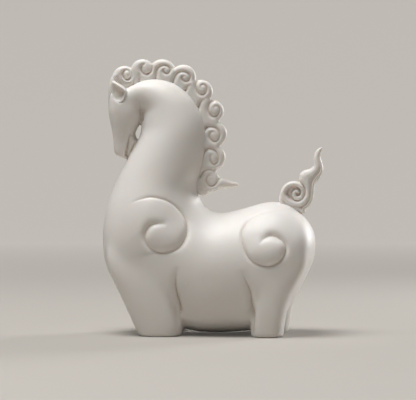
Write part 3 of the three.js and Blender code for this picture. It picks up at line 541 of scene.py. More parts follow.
PILLOW_EDGE = 2.6  # how late the pillow falls off towards its line
DOME_EDGE = 0.75  # how round the domes are: 0.5 is a ball, 1 is a soft mound
BLEND = 4  # how sharply the higher one of pillow and dome wins
PRESSED_ROUNDS = 2
CREASE_ROUNDS = 5

at = places_of(figure)
out = outward_of(figure)
lift = np.zeros(len(at))
flank = sideways(at, *FLANK)
for line, dome, roll_side, middle, height, (fade_from, fade_to) in VOLUTES:
    flat = at[:, [0, 2]]
    rows = flowing(line, 10)
    outer = rows[:(OUTER_ROWS - 1) * 10]
    along = np.gradient(outer[:, :2], axis=0)
    along /= np.linalg.norm(along, axis=1)[:, None]
    _, which = nearest(flat, outer)
    apart = flat - outer[which, :2]
    inside = roll_side * (along[which, 0] * apart[:, 1] - along[which, 1] * apart[:, 0])
    from_middle = np.hypot(*(flat - middle).T)
    share = from_middle / (from_middle + np.maximum(inside, 0) + 0.01)
    pillow = height * (1 - share ** PILLOW_EDGE) * ramp(at[:, 0], fade_from, fade_to) * ramp(inside, -0.1, 1.2)
    domes = np.zeros(len(at))
    for x, z, half, dome_height in flowing(dome, 10):
        u = np.clip(np.hypot(at[:, 0] - x, at[:, 2] - z) / half, 0, 1)
        domes = np.maximum(domes, dome_height * (1 - u * u) ** DOME_EDGE)
    bump = (pillow ** BLEND + domes ** BLEND) ** (1 / BLEND)
    far, which = nearest(flat, rows)
    lift += flank * (bump - rows[which, 2] * groove(far, rows[which, 3]))
outer_flank = sideways(at, *OUTER_FLANK)
for line, belly_side in zip(LEG_CREASES, (1, -1)):
    rows = flowing(line, 10)
    far, which = nearest(at[:, [0, 2]], rows)
    towards_belly = (at[:, 0] - rows[which, 0]) * belly_side > 0
    width = np.where(towards_belly, rows[which, 4], rows[which, 3])
    lift -= outer_flank * rows[which, 2] * groove(far, width)
front_edge, hind_edge = (np.interp(at[:, 2], *flowing(line, 6)[:, [1, 0]].T) for line in LEG_CREASES)
along_belly = (at[:, 0] - front_edge) / (hind_edge - front_edge)
between_legs = ramp(at[:, 0], front_edge - 0.8, front_edge + 0.4)
between_legs *= ramp(at[:, 0], hind_edge + 0.8, hind_edge - 0.4)
arch = np.clip(4 * along_belly * (1 - along_belly), 0, 1) ** 0.6
lift -= outer_flank * between_legs * ramp(at[:, 2], 43, 25) * BELLY_DENT * (1 - arch)
for line in CREASES:
    rows = flowing(line, 10)
    far, which = nearest(at[:, [0, 2]], rows)
    lift -= sideways(at, *MUZZLE_SIDE) * rows[which, 2] * groove(far, rows[which, 3])
lift -= sideways(at, *CHEEK) * (dent(at, *EAR_PIT, EAR_LEAN) + dent(at, *BROW))
lift -= sideways(at, *NECK_SIDE) * dent(at, *NECK_DIP)
put_places(figure, at + out * lift[:, None])
relax(figure, PRESSED_ROUNDS, ramp(np.abs(lift), 0.0, 0.1))
relax(figure, CREASE_ROUNDS, ramp(-lift, 0.6, 1.6) * ramp(at[:, 2], 46, 40) * flank)
at = places_of(figure)
print("widest corner", at[np.argmin(at[:, 1])].round(1))
print("relief from", round(lift.min(), 1), "to", round(lift.max(), 1), "mm")

# %% [markdown]
# ## The hollow and its vent
# Slip casting leaves the body hollow, and a round vent under the belly lets the steam out in the fire. The hollow is
# drawn out from the trunk's own stations, moved inwards by the wall, and then taken out of the body with the vent.
# The skin is now finer than it has to be on its open parts, so it is thinned where it is nearly flat.

# %% Hollow and vent
WALL = 9.0
VENT_RADIUS = 4
VENT_X = 5
VENT_BOTTOM, VENT_TOP = -4, 18
HOLLOW_VOXEL = 2.0
MOST_TRIANGLES = 192000

hollow_rows = np.array(TRUNK[2:15])  # from the rump to the middle of the neck
through = hollow_rows[:, 0:2] - hollow_rows[:, 2:4]
through *= WALL / np.linalg.norm(through, axis=1)[:, None]
hollow_rows[:, 0:2] -= through
hollow_rows[:, 2:4] += through
hollow_rows[:, 4] -= WALL
bpy.ops.mesh.primitive_cylinder_add(
    vertices=40, radius=VENT_RADIUS * MM, depth=(VENT_TOP - VENT_BOTTOM) * MM,
    location=(VENT_X * MM, 0, (VENT_BOTTOM + VENT_TOP) / 2 * MM),
)
vent = bpy.context.object
hollow = fuse("hollow", [draw_out("hollow_form", upright_rings(hollow_rows, 3, 40)), vent], HOLLOW_VOXEL)
apply_modifier(figure, "BOOLEAN", operation="DIFFERENCE", solver="FAST", object=hollow)
bpy.data.objects.remove(hollow)
triangles = len(figure.data.loops) - 2 * len(figure.data.polygons)
apply_modifier(figure, "DECIMATE", ratio=MOST_TRIANGLES / triangles)
print("body:", triangles, "triangles with the hollow and the vent, thinned to", len(figure.data.polygons))

# %% [markdown]
# ## Rolls of clay
# The hair is made of rolls and lobes of clay that stand in the middle plane. A roll is drawn out along its line like
# a limb. Its section is an oval, narrow in the middle plane and deep across it, so both sides show the same form. A
# lobe is a thick round plate with a rounded rim, and its curl is a spiral groove pressed into both faces. The tail
# is wound from one roll instead, and a thin web closes its middle.

# %% Helpers for rolls and lobes
ROLL_END = np.radians([35, 65, 84])  # where the rings of a rounded end lie on their quarter circle
LOBE_FULLNESS = 3.2  # 2 would make a flattened ball of a lobe, more makes it a plate with a tighter rim
LOBE_SIDES = 48
DEEP_START = 1.35  # a groove that starts deeper than this (mm) comes out of the gap between two locks


def roll_of(name, rows, sides=14, fullness=2.2):
    """A roll along rows of x, z, half width and half depth, with its ends rounded off."""
    rows = np.array(rows, float)
    ends = []
    for end, inner in ((rows[0], rows[1]), (rows[-1], rows[-2])):
        back = (end[:2] - inner[:2]) / np.linalg.norm(end[:2] - inner[:2])
        ends.append([
            np.r_[end[:2] + back * end[2] * math.sin(a), end[2] * math.cos(a), end[3] * (0.55 + 0.45 * math.cos(a))]
            for a in ROLL_END
        ])
    rows = np.vstack([ends[0][::-1], rows, ends[1]])
    along = np.gradient(rows[:, :2], axis=0)
    along /= np.linalg.norm(along, axis=1)[:, None]
    rise, reach = oval(sides, fullness)
    rings = []
    for (x, z, half, deep), (ax, az) in zip(rows, along):
        ring = np.zeros((sides, 3))
        ring[:, 0] = x - az * half * rise
        ring[:, 1] = deep * reach
        ring[:, 2] = z + ax * half * rise
        rings.append(ring * MM)
    return draw_out(name, rings)


def web_of(name, x, z, radius, deep):
    """A round plate across a curl, in the middle plane."""
    bpy.ops.mesh.primitive_cylinder_add(
        vertices=40, radius=radius * MM, depth=2 * deep * MM, location=(x * MM, 0, z * MM),
        rotation=(math.pi / 2, 0, 0),
    )
    plate = bpy.context.object
    plate.name = name
    bpy.ops.object.transform_apply(location=True, rotation=True, scale=True)
    return plate


def lobe_of(name, x, z, radius, deep):
    """A round lobe across the middle plane, flat on both faces with a rounded rim."""
    rings = []
    for y in np.sin(np.radians(np.linspace(-88, 88, 15))):
        reach = radius * (1 - abs(y) ** LOBE_FULLNESS) ** (1 / LOBE_FULLNESS)
        turns = np.arange(LOBE_SIDES) / LOBE_SIDES * 2 * math.pi
        ring = [x + reach * np.cos(turns), np.full(LOBE_SIDES, y * deep), z + reach * np.sin(turns)]
        rings.append(np.stack(ring, 1) * MM)
    return draw_out(name, rings)


def led_back(line, reach):
    """The line itself, or with a deeper and wider start further back if it starts deep."""
    start, second = np.array(line[0]), np.array(line[1])
    if start[2] < DEEP_START:
        return line
    back = (start[:2] - second[:2]) / np.linalg.norm(start[:2] - second[:2])
    return [(*(start[:2] + back * reach), start[2] + 0.6, start[3] + 0.2)] + line


def press(piece, lines, faces_from):
    """Presses grooves (rows of x, z, depth, width) into both faces of a flat piece."""
    at = places_of(piece)
    sink = np.zeros(len(at))
    for line in lines:
        rows = flowing(line, 8)
        far, which = nearest(at[:, [0, 2]], rows)
        sink = np.maximum(sink, rows[which, 2] * groove(far, rows[which, 3], 1.7))
    at[:, 1] -= np.sign(at[:, 1]) * sink * sideways(at, faces_from * 0.3, faces_from)
    put_places(piece, at)


print("a rounded end of a roll has", len(ROLL_END), "rings, a lobe", LOBE_SIDES, "sides")

# %% [markdown]
# ## The comb of the mane
# The comb is a flat crest with eight round lobes. Spiral grooves turn each lobe into a curl. The first three wind in
# clockwise, the next two the other way, and the last three clockwise again. Where a groove starts at the neck it
# leaves a small dark wedge between two locks.

# %% Lobes and lines of the comb
MANE_LOBES = [  # x, z, radius
    (-48.0, 176.75, 8.0), (-34.6, 175.25, 9.4), (-20.3, 172.3, 8.6), (-8.2, 162.6, 8.0), (-0.3, 149.6, 7.4),
    (0.6, 134.2, 8.7), (0.0, 118.5, 8.4), (-3.0, 102.6, 7.7),
]
MANE_DEEP = 4.5  # half thickness of the comb
CREST_HALF = 6.9  # half width of the band that joins the lobes
MANE_VOXEL = 0.34
HAIR_FACE = 3.0  # the pressed grooves are at full depth from here outwards (mm)
FLICK = [  # x, z, half width, half depth
    (-9.2, 98.8, 2.4, 4.3), (-5.8, 97.9, 2.6, 4.3), (-2.2, 97.8, 2.8, 4.3), (1.6, 99.4, 3.2, 4.2),
    (5.0, 101.2, 3.3, 4.0), (8.4, 100.6, 3.0, 3.4), (12.4, 100.1, 2.1, 2.4), (15.4, 100.2, 1.5, 1.6),
    (17.1, 100.0, 0.5, 0.7),
]
CREST_LINE = [  # x, z
    (-7.2, 99.5), (-6.7, 104.7), (-4.2, 111.6), (-3.0, 117.8), (-2.2, 125.2), (-1.9, 132.4), (-2.0, 138.9),
    (-3.5, 145.3), (-6.7, 152.9), (-10.6, 159.2), (-17.1, 166.3), (-26.7, 172.0), (-38.0, 174.4), (-49.5, 173.0),
]
MANE_GROOVES = [  # x, z, depth, width
    [(-41.1, 179.8, 0.8, 0.8), (-41.1, 177.8, 1.3, 0.9), (-41.9, 176.0, 1.4, 1.0), (-43.6, 174.9, 1.5, 1.1),
     (-45.5, 174.6, 1.5, 1.1), (-47.2, 175.3, 1.6, 1.1), (-48.3, 176.9, 1.8, 1.2), (-48.4, 178.9, 1.8, 1.3),
     (-47.6, 180.5, 1.1, 1.1), (-46.1, 181.2, 0.5, 1.0), (-44.7, 181.3, 0.0, 0.9)],
    [(-49.7, 170.0, 1.7, 1.3), (-49.6, 171.9, 1.3, 1.2), (-49.6, 173.8, 0.8, 1.1), (-49.1, 175.5, 0.6, 1.0),
     (-48.5, 176.6, 0.5, 1.0)],
    [(-38.9, 171.3, 1.9, 1.3), (-38.4, 173.8, 1.7, 1.3), (-37.9, 176.8, 1.6, 1.3), (-36.8, 178.7, 1.6, 1.2),
     (-34.7, 179.9, 1.4, 1.1), (-32.2, 180.2, 1.3, 1.0), (-30.1, 179.3, 1.2, 1.0), (-28.9, 177.6, 1.2, 1.0),
     (-29.2, 176.0, 1.3, 1.0), (-30.7, 175.0, 1.4, 1.0), (-32.4, 175.3, 1.4, 1.0), (-33.5, 176.4, 1.3, 1.0),
     (-33.2, 177.6, 0.9, 0.9), (-32.1, 177.9, 0.4, 0.8)],
    [(-26.8, 169.8, 1.9, 1.3), (-26.0, 171.7, 1.8, 1.3), (-25.1, 173.7, 1.7, 1.3), (-23.4, 175.2, 1.4, 1.1),
     (-20.9, 176.0, 1.3, 1.0), (-18.1, 175.6, 1.3, 1.0), (-16.0, 174.1, 1.3, 1.0), (-15.3, 172.1, 1.3, 1.0),
     (-16.2, 170.4, 1.4, 1.1), (-18.1, 169.7, 1.5, 1.1), (-19.8, 170.3, 1.4, 1.1), (-20.7, 171.6, 1.2, 1.0),
     (-20.2, 172.7, 0.9, 0.9), (-19.0, 172.7, 0.4, 0.8)],
    [(-18.2, 163.9, 1.7, 1.2), (-17.3, 165.4, 1.1, 1.1), (-15.8, 166.6, 0.5, 1.0), (-14.3, 167.6, 0.0, 1.0)],
    [(-10.1, 170.4, 1.4, 0.9), (-10.9, 168.7, 1.5, 1.1), (-11.4, 166.6, 1.5, 1.1), (-11.0, 164.1, 1.5, 1.1),
     (-9.8, 161.9, 1.5, 1.1), (-7.8, 160.6, 1.5, 1.1), (-5.7, 161.0, 1.4, 1.1), (-4.3, 162.7, 1.3, 1.0),
     (-4.1, 164.8, 1.2, 1.0), (-4.9, 166.5, 1.0, 0.9), (-6.3, 167.3, 0.8, 0.9), (-7.6, 166.6, 0.5, 0.8),
     (-8.0, 165.4, 0.2, 0.8)],
    [(-9.3, 152.9, 1.7, 1.2), (-8.4, 154.9, 1.1, 1.1), (-6.7, 156.6, 0.5, 1.0), (-4.8, 157.8, 0.0, 1.0)],
    [(0.5, 156.5, 1.3, 0.9), (-1.9, 154.7, 1.5, 1.1), (-3.0, 151.7, 1.5, 1.1), (-2.4, 148.4, 1.5, 1.1),
     (-0.3, 146.1, 1.5, 1.1), (2.2, 146.2, 1.4, 1.1), (4.1, 148.0, 1.3, 1.0), (4.6, 150.4, 1.1, 0.9),
     (3.6, 152.4, 0.8, 0.9), (1.9, 152.7, 0.5, 0.8), (0.9, 151.3, 0.1, 0.8)],
    [(-5.1, 137.6, 1.9, 1.2), (-3.2, 138.9, 1.7, 1.2), (-0.4, 138.9, 1.4, 1.1), (2.4, 137.9, 1.3, 1.0),
     (4.2, 135.7, 1.2, 1.0), (4.8, 133.0, 1.2, 1.0), (3.7, 130.4, 1.3, 1.0), (1.3, 129.3, 1.4, 1.0),
     (-1.0, 130.4, 1.3, 1.0), (-2.1, 132.6, 1.2, 1.0), (-1.7, 134.5, 0.9, 0.9), (-0.2, 135.6, 0.6, 0.8),
     (1.4, 135.0, 0.2, 0.8)],
    [(-5.4, 122.6, 1.9, 1.2), (-3.5, 124.2, 1.7, 1.2), (-0.7, 124.0, 1.4, 1.1), (1.7, 122.8, 1.3, 1.0),
     (3.3, 120.3, 1.2, 1.0), (3.7, 117.4, 1.2, 1.0), (2.9, 115.0, 1.3, 1.0), (0.7, 114.1, 1.3, 1.0),
     (-1.2, 115.3, 1.2, 1.0), (-1.9, 117.4, 1.1, 1.0), (-1.5, 119.4, 0.7, 0.9), (-0.1, 120.2, 0.2, 0.8)],
    [(-8.1, 105.5, 1.3, 1.1), (-6.7, 108.2, 1.4, 1.1), (-5.0, 109.6, 1.3, 1.1), (-2.6, 110.1, 1.0, 1.0),
     (0.5, 110.0, 0.7, 0.9), (3.0, 110.2, 0.5, 0.8)],
    [(4.5, 105.1, 1.4, 0.9), (3.6, 102.4, 1.3, 1.0), (1.7, 100.2, 1.3, 1.0), (-0.7, 99.2, 1.3, 1.0),
     (-3.1, 100.4, 1.3, 1.0), (-4.2, 102.6, 1.2, 1.0), (-3.8, 104.9, 1.0, 1.0), (-2.3, 106.3, 0.6, 0.9),
     (-0.4, 106.1, 0.2, 0.8)],
]
print("comb:", len(MANE_LOBES), "lobes and", len(MANE_GROOVES), "grooves")

# %% Comb of the mane
forms = [
    lobe_of(f"lobe_{number}", x, z, radius, MANE_DEEP - 0.03 * number)
    for number, (x, z, radius) in enumerate(MANE_LOBES)
]
crest_rows = [(x, z, CREST_HALF, MANE_DEEP - 0.3) for x, z in CREST_LINE]
forms.append(roll_of("crest", flowing(crest_rows, 3), 20, LOBE_FULLNESS))
forms.append(roll_of("flick", flowing(FLICK, 4), 18, 2.6))
mane = fuse("curled_mane", forms, MANE_VOXEL)
relax(mane, 3)
press(mane, [led_back(line, 3.0) for line in MANE_GROOVES], HAIR_FACE)
relax(mane, 2)
print("mane:", len(mane.data.polygons), "faces")

# %% [markdown]
# ## The forelock
# The first curl grows out of the hair that is combed back from the forehead. The lock runs down the front of the
# forehead in a narrow tongue, and fine comb lines cross its root above the ear.

# %% Forelock
FORELOCK_TONGUE = [  # x, z, half width, half depth
    (-70.6, 150.5, 0.6, 1.8), (-70.3, 155.0, 1.1, 2.8), (-69.8, 160.0, 1.6, 3.6), (-68.9, 165.0, 2.3, 4.2),
    (-67.2, 169.6, 3.2, 4.3), (-64.6, 173.0, 4.2, 4.3),
]
FORELOCK_ROOT = [
    (-65.0, 168.6, 4.6, 4.4), (-61.0, 167.6, 4.6, 4.4), (-56.4, 170.4, 3.6, 4.4), (-54.0, 173.0, 2.6, 4.3),
]
FORELOCK_LOBE = (-60.3, 172.0, 8.25, 4.4)  # x, z, radius, half depth
FORELOCK_VOXEL = 0.32
COMB_LINES = 6
COMB_WIDTH = 0.42
COMB_ROWS = [  # along a comb line: its place on the first line, its place on the last line, depth
    ((-67.6, 172.4), (-62.0, 174.4), 0.4),
    ((-63.8, 168.0), (-59.6, 169.6), 0.9),
    ((-60.4, 164.8), (-56.6, 168.9), 0.9),
    ((-53.5, 166.4), (-53.4, 170.6), 0.5),
]
FORELOCK_CURL = [  # x, z, depth, width
    (-54.8, 178.9, 0.9, 0.9), (-54.2, 176.3, 1.3, 1.0), (-54.8, 173.4, 1.4, 1.0), (-56.5, 171.3, 1.5, 1.1),
    (-58.4, 170.9, 1.5, 1.1), (-60.2, 172.1, 1.6, 1.1), (-61.0, 174.1, 1.7, 1.2), (-60.6, 175.9, 1.5, 1.1),
    (-59.3, 177.1, 1.0, 1.0), (-57.6, 177.1, 0.8, 0.9), (-56.5, 176.1, 0.7, 0.8), (-56.2, 174.5, 0.6, 0.8),
    (-57.0, 173.3, 0.4, 0.8), (-58.3, 173.3, 0.1, 0.7),
]
comb_lines = []
for number in range(COMB_LINES):
    share = number / (COMB_LINES - 1)
    comb_lines.append([
        (first[0] + (last[0] - first[0]) * share, first[1] + (last[1] - first[1]) * share, depth, COMB_WIDTH)
        for first, last, depth in COMB_ROWS
    ])
forelock = fuse("forelock_curl", [
    lobe_of("forelock_lobe", *FORELOCK_LOBE),
    roll_of("tongue", flowing(FORELOCK_TONGUE, 4), 18, 2.4),
    roll_of("lock_root", flowing(FORELOCK_ROOT, 4), 18, LOBE_FULLNESS),
], FORELOCK_VOXEL)
relax(forelock, 3)
print("refined", refine_along(forelock, comb_lines, 0.9, 2), "faces along the comb lines")
press(forelock, [FORELOCK_CURL] + comb_lines, HAIR_FACE)
relax(forelock, 1)
print("forelock:", len(forelock.data.polygons), "faces")

# %% [markdown]
# ## The tail
# One roll comes down from the flame-shaped tip, passes under the curl, up its left side and over, and winds in. A
# thin band, set off by a fine groove, follows its right edge.

# %% Tail
TAIL_ROLL = [  # x, z, half width, half depth
    (73.0, 124.6, 0.7, 0.9), (71.7, 123.4, 1.4, 1.5), (70.6, 121.4, 2.0, 2.1), (69.8, 118.4, 2.4, 2.7),
    (70.0, 115.0, 2.8, 3.2), (70.0, 111.4, 3.2, 3.7), (67.4, 107.8, 3.9, 4.1), (62.9, 104.6, 5.5, 4.3),
    (63.4, 101.4, 3.4, 4.5), (64.2, 97.0, 2.2, 4.6), (63.8, 92.4, 2.3, 4.6), (61.2, 88.6, 2.6, 4.6),
    (57.2, 87.0, 2.6, 4.6), (52.6, 88.0, 2.6, 4.6), (49.0, 90.6, 2.7, 4.6), (47.5, 94.0, 2.4, 4.6),
    (48.9, 97.9, 2.1, 4.6), (51.6, 100.2, 1.9, 4.6), (55.0, 100.8, 1.9, 4.6), (58.4, 99.6, 1.8, 4.5),
    (60.4, 96.8, 1.6, 4.3), (60.4, 93.6, 1.6, 4.2), (58.6, 91.4, 1.8, 4.2), (56.0, 91.4, 1.9, 4.2),
    (54.6, 93.4, 1.7, 4.2), (55.4, 95.6, 1.5, 4.2), (57.3, 95.6, 1.3, 4.2),
]
TAIL_BAND = [
    (71.9, 120.8, 0.7, 1.8), (71.4, 118.6, 0.8, 2.2), (72.2, 115.2, 1.0, 2.6), (72.95, 111.6, 1.1, 3.0),
    (72.4, 108.2, 1.2, 3.3), (69.8, 105.2, 1.2, 3.6), (67.6, 101.4, 1.2, 3.8), (66.9, 95.0, 1.25, 3.9),
    (66.0, 90.4, 1.3, 3.9), (63.8, 86.9, 1.4, 3.9), (61.2, 84.8, 1.4, 3.9),
]
TAIL_ROOT = [
    (47.0, 93.0, 2.2, 4.2), (46.4, 89.0, 2.3, 4.2), (48.6, 86.8, 2.4, 4.0), (53.0, 85.2, 2.8, 4.0),
    (57.6, 84.0, 2.8, 4.0), (60.0, 83.0, 2.4, 3.8),
]
TAIL_CORE = [  # fills the gap between the roll and the band
    (58, 85, 4.5, 3.3), (62, 91, 4.5, 3.3), (64.6, 97, 3.5, 3.3), (65, 102, 4.0, 3.2), (69, 107.5, 4.0, 2.6),
]
TAIL_WEB = (54.4, 93.8, 7.6, 1.7)  # x, z, radius, half depth
TAIL_VOXEL = 0.36
tail = fuse("curled_tail", [
    roll_of("tail_roll", flowing(TAIL_ROLL, 3)),
    roll_of("tail_band", flowing(TAIL_BAND, 3)),
    roll_of("tail_root", flowing(TAIL_ROOT, 3)),
    web_of("tail_web", *TAIL_WEB),
    roll_of("tail_core", flowing(TAIL_CORE, 3)),
], TAIL_VOXEL)
relax(tail, 3)
print("tail:", len(tail.data.polygons), "faces")

# %% [markdown]
# ## The ears
# Each ear is a small leaf, pinched to a cup with its hollow turned outwards. Rings go up the outside, over the rim
# and down into the hollow. The rear corner of the rim stands out the most, and the lower rim ends in the cheek.

# %% Ears
EAR_RIM = [  # x, y and z of the rim of the left ear, from the tip round the rear corner
    (-67.0, -10.4, 168.8), (-62.4, -13.2, 167.0), (-57.9, -13.9, 163.6), (-57.7, -13.0, 160.0),
    (-59.6, -12.3, 156.2), (-62.8, -11.3, 155.0), (-65.8, -9.8, 157.2), (-67.4, -8.6, 163.0),
]
EAR_STEPS = [  # share of the outline, how far the ring lies behind the rim (mm), share of the way to the floor
    (1.24, 4.6, 0.0), (1.13, 2.6, 0.0), (1.06, 1.2, 0.0), (1.0, 0.4, 0.0), (0.94, 0.05, 0.0), (0.88, 0.0, 0.02),
    (0.81, 0.1, 0.12), (0.73, 0.2, 0.34), (0.63, 0.2, 0.62), (0.49, 0.1, 0.84), (0.32, 0.0, 0.96), (0.14, 0.0, 1.0),
]
EAR_FLOOR_Y = -9.0
RIM_STEPS = 4


def ear(side):
    """The leaf of one ear, on the left (-1) or the right (1) side of the head."""
    rim = flowing(EAR_RIM[-1:] + EAR_RIM + EAR_RIM[:2], RIM_STEPS)[RIM_STEPS:RIM_STEPS * (1 + len(EAR_RIM))]
    middle = rim.mean(0)
    rings = []
    for share, behind, sunk in EAR_STEPS:
        ring = middle + (rim - middle) * share
        ring[:, 1] = -side * ((rim[:, 1] + behind) * (1 - sunk) + EAR_FLOOR_Y * sunk)
        rings.append(ring * MM)
    leaf = draw_out("left_ear_leaf" if side < 0 else "right_ear_leaf", rings)
    apply_modifier(leaf, "SUBSURF", levels=2)
    return leaf


ears = [ear(-1), ear(1)]
print("ears:", [len(leaf.data.polygons) for leaf in ears], "faces")

# %% [markdown]
# ## Painted shade in the hollows
# The bottom of every groove and hollow is painted a little darker and warmer. This is painted shade, standing in for
# the shade that falls there. Each corner gets a number for that: how hollow the surface is there, evened out with
# its neighbours.

# %% Painted shade in the hollows
SHADE_ROUNDS = 5
STEEPEST = 1.5  # sharper hollows count as this one
GROOVE_BOTTOM = 0.8  # a hollow this sharp gets the full painted shade
COUNTED_FROM = 0.15  # the least hollow that the printed share counts


def mark_painted_shade(piece):
    """Stores 1 at the bottom of a groove and 0 on an open surface, as the amount of painted shade the material adds.
    """
    at, out = places_of(piece), outward_of(piece)
    ends = np.empty(len(piece.data.edges) * 2, int)
    piece.data.edges.foreach_get("vertices", ends)
    first, second = ends.reshape(-1, 2).T
    span = at[second] - at[first]
    square = np.maximum((span ** 2).sum(1), 1e-6)
    size = len(at)

    def gather(from_first, from_second):
        return np.bincount(first, from_first, size) + np.bincount(second, from_second, size)

    count = np.maximum(gather(None, None), 1)
    hollow = gather((span * out[first]).sum(1) / square, -(span * out[second]).sum(1) / square) * 2 / count
    hollow = np.clip(hollow, -STEEPEST, STEEPEST)
    for _ in range(SHADE_ROUNDS):
        hollow = (hollow + gather(hollow[second], hollow[first]) / count) / 2
    # painted shade: 1 where the surface is hollow enough for full shade, 0 on open surfaces
    attribute = piece.data.attributes.new("painted_shade", "FLOAT", "POINT")
    attribute.data.foreach_set("value", np.clip(hollow / GROOVE_BOTTOM, 0, 1).astype(np.float32))
    return hollow


# every piece gets its painted shade in the hollows
for piece in [figure, mane, forelock, tail, *ears]:
    hollow = mark_painted_shade(piece)
    print(piece.name, "pooling on", round(100 * float((hollow > COUNTED_FROM).mean())), "% of the corners")

# %% [markdown]
# ## Satin porcelain
# Satin-glazed hard porcelain: a white body dipped in a matting glaze and fired at 1350 degrees. The glaze gives the
# eye a broad, soft sheen with no sharp reflections, and light goes a few millimetres in, so thin parts glow warm.
# The colour drifts a little over the body, the sheen is a touch uneven, and the surface has a fine satin grain. The
# foot rims were wiped free of glaze, so that they don't stick to the kiln shelf, and are dry and rough.

# %% Helpers for materials
def linear(hex_colour):
    """An sRGB hex colour as linear red, green, blue and alpha."""
    parts = [int(hex_colour[i:i + 2], 16) / 255 for i in (1, 3, 5)]
    return [c / 12.92 if c <= 0.04045 else ((c + 0.055) / 1.055) ** 2.4 for c in parts] + [1.0]


def set_values(node, **settings):
    """Sets properties or sockets of a node by name."""
    for key, value in settings.items():
        if hasattr(node, key):
            setattr(node, key, value)
        else:
            node.inputs[key.replace("_", " ")].default_value = value


def add_node(tree, kind, links=(), **settings):
    """Adds a node, sets its properties or sockets, and links (output, socket) pairs into it."""
    node = tree.nodes.new(kind)
    set_values(node, **settings)
    for source, socket in links:
        tree.links.new(source, node.inputs[socket])
    return node


def per_metre(millimetres):
    """The texture scale that gives a pattern of this size."""
    return 1 / (millimetres * MM)


print("white is", [round(c, 2) for c in linear("#F7F3F0")])

# %% Porcelain
COLOUR_A, COLOUR_B, COLOUR_OUT = 6, 7, 2  # a mix node's colour sockets, which share their names with others
GLAZE_FROM, BARE_TO = 0.9, 0.3  # the foot rim is glazed above the one and bare below the other (mm)

porcelain = bpy.data.materials.new("satin_glazed_porcelain")
porcelain.use_nodes = True
tree = porcelain.node_tree
surface = tree.nodes["Principled BSDF"]
place = add_node(tree, "ShaderNodeTexCoord").outputs["Object"]
drift = add_node(tree, "ShaderNodeTexNoise", [(place, "Vector")], Scale=per_metre(28), Detail=2.0)
cloud = add_node(tree, "ShaderNodeTexNoise", [(place, "Vector")], Scale=per_metre(7), Detail=3.0)
grain = add_node(tree, "ShaderNodeTexNoise", [(place, "Vector")], Scale=per_metre(1.1), Detail=2.0)
# painted shade: how hollow each corner is, read from the mesh
painted_shade = add_node(tree, "ShaderNodeAttribute", attribute_name="painted_shade").outputs["Fac"]
above_ground = add_node(tree, "ShaderNodeSeparateXYZ", [(place, "Vector")]).outputs["Z"]
bare = add_node(tree, "ShaderNodeMapRange", [(above_ground, "Value")],
                From_Min=GLAZE_FROM * MM, From_Max=BARE_TO * MM).outputs["Result"]

body_colour = add_node(tree, "ShaderNodeMix", [(drift.outputs["Fac"], "Factor")], data_type="RGBA")
body_colour.inputs[COLOUR_A].default_value = linear("#F7F3F0")
body_colour.inputs[COLOUR_B].default_value = linear("#F0ECE5")
# painted shade: a darker, warmer colour mixed into the body colour where the surface is hollow, for the shade in
# grooves
shaded_colour = add_node(tree, "ShaderNodeMix", [(painted_shade, "Factor"), (body_colour.outputs[COLOUR_OUT], COLOUR_A)],
                  data_type="RGBA")
shaded_colour.inputs[COLOUR_B].default_value = linear("#DDD1C3")
tree.links.new(shaded_colour.outputs[COLOUR_OUT], surface.inputs["Base Color"])
sheen = add_node(tree, "ShaderNodeMapRange", [(cloud.outputs["Fac"], "Value")],
                 From_Min=0.3, From_Max=0.7, To_Min=0.45, To_Max=0.54)
rough = add_node(tree, "ShaderNodeMapRange", [(bare, "Value"), (sheen.outputs["Result"], "To Min")], To_Max=0.85)
tree.links.new(rough.outputs["Result"], surface.inputs["Roughness"])
coat = add_node(tree, "ShaderNodeMapRange", [(bare, "Value")], To_Min=0.12, To_Max=0.0)
tree.links.new(coat.outputs["Result"], surface.inputs["Coat Weight"])
satin = add_node(tree, "ShaderNodeBump", [(grain.outputs["Fac"], "Height")], Strength=0.25, Distance=0.03 * MM)
tree.links.new(satin.outputs["Normal"], surface.inputs["Normal"])
set_values(surface, IOR=1.5, Coat_Roughness=0.35, Subsurface_Weight=0.25, Subsurface_Scale=3 * MM,
            Subsurface_Radius=(1.0, 0.66, 0.42))
print("material:", porcelain.name)

# %% [markdown]
# ## What each piece stands for
# Every piece takes the porcelain and replaces the castings that it shows. The body and the head share one skin, as
# the joint between them is wiped smooth. All pieces ride on the root, because a fired figurine is one rigid thing.

# %% Pieces take the porcelain
PIECES = {
    figure: ["body_shell", "head"],
    mane: ["mane_crest"],
    forelock: ["forelock"],
    tail: ["tail"],
    ears[0]: ["left_ear"],
    ears[1]: ["right_ear"],
}
for piece, nodes in PIECES.items():
    piece.data.materials.clear()
    piece.data.materials.append(porcelain)
    only(piece)
    bpy.ops.object.shade_smooth()
    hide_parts(*nodes)
    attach(piece, "root")
    print(piece.name, "stands for", nodes)

# %% [markdown]
# ## The studio
# The horse stands in the middle of a wide pale bowl, whose floor rises into a wall all round, so every view has the
# same plain backdrop. The bowl has a glow that only the camera sees. It grows with the distance from the horse, so
# the backdrop is pale and the floor keeps the shadow. A large soft lamp hangs high on the left, light from the open
# sky of the bowl fills the shadows, and a rim lamp with a narrow beam stands behind on the right. The lamps stay low
# enough that the white doesn't clip.

# %% Floor and backdrop
BOWL_SIDES = 64
BOWL_FLOOR = 1.7  # radius of the flat floor (m)
BOWL_BEND = 0.8  # radius of the bend between the floor and the wall (m)
BOWL_TOP = 2.4

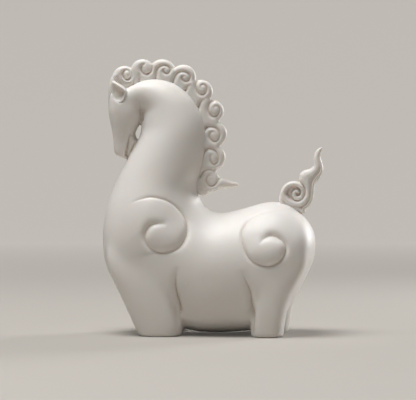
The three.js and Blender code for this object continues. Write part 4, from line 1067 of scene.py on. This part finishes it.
outline = [(0.02, 0), (0.3, 0), (1.0, 0), (BOWL_FLOOR, 0)]
outline += [
    (BOWL_FLOOR + BOWL_BEND * math.sin(a), BOWL_BEND * (1 - math.cos(a)))
    for a in np.radians([15, 30, 45, 60, 75, 90])
]
outline += [(BOWL_FLOOR + BOWL_BEND, 1.6), (BOWL_FLOOR + BOWL_BEND, BOWL_TOP)]
turns = np.arange(BOWL_SIDES) / BOWL_SIDES * 2 * math.pi
floor = draw_out("backdrop", [
    np.stack([reach * np.cos(turns), reach * np.sin(turns), np.full(BOWL_SIDES, height)], 1)
    for reach, height in outline
])
open_faces(floor, [face.center.z > BOWL_TOP - 0.01 for face in floor.data.polygons])
bpy.ops.mesh.delete(type="FACE")
bpy.ops.object.mode_set(mode="OBJECT")
bpy.ops.object.shade_smooth()
paper = bpy.data.materials.new("pale_paper")
paper.use_nodes = True
tree = paper.node_tree
sheet = tree.nodes["Principled BSDF"]
set_values(sheet, Base_Color=linear("#B4AFA8"), Roughness=0.9, Emission_Color=linear("#B9B5AF"))
place = add_node(tree, "ShaderNodeTexCoord").outputs["Object"]
reach = add_node(tree, "ShaderNodeVectorMath", [(place, 0)], operation="LENGTH").outputs["Value"]
paleness = add_node(tree, "ShaderNodeMapRange", [(reach, "Value")],
                    From_Min=0.15, From_Max=1.6, To_Min=0.1, To_Max=0.85).outputs["Result"]
seen = add_node(tree, "ShaderNodeLightPath").outputs["Is Camera Ray"]
glow = add_node(tree, "ShaderNodeMath", [(paleness, 0), (seen, 1)], operation="MULTIPLY").outputs["Value"]
tree.links.new(glow, sheet.inputs["Emission Strength"])
floor.data.materials.append(paper)
print("backdrop:", len(floor.data.polygons), "faces")

# %% Lamps and sky
HORSE_MIDDLE = np.array([0, 0, 0.09])  # what the lamps are aimed at (m)


def lamp(name, place, size, power, spread=180.0):
    """A square lamp aimed at the horse: place and size in metres, power in watts, spread in degrees."""
    bpy.ops.object.light_add(type="AREA", location=place)
    light = bpy.context.object
    light.name = name
    light.data.size = size
    light.data.energy = power
    light.data.spread = math.radians(spread)
    direction = HORSE_MIDDLE - place
    yaw = math.atan2(direction[0], -direction[1])
    pitch = math.atan2(math.hypot(direction[0], direction[1]), -direction[2])
    light.rotation_euler = (pitch, 0, yaw + math.pi)
    print(name, "of", power, "W at", place)


lamp("key_lamp", (-0.28, -0.22, 1.30), 0.8, 17.2)
lamp("rim_lamp", (0.85, 0.9, 0.35), 0.5, 1.25, spread=60.0)
bpy.context.scene.view_settings.view_transform = "Standard"
world = bpy.data.worlds.new("studio")
bpy.context.scene.world = world
world.use_nodes = True
set_values(world.node_tree.nodes["Background"], Color=linear("#E9E5E3"), Strength=0.19)
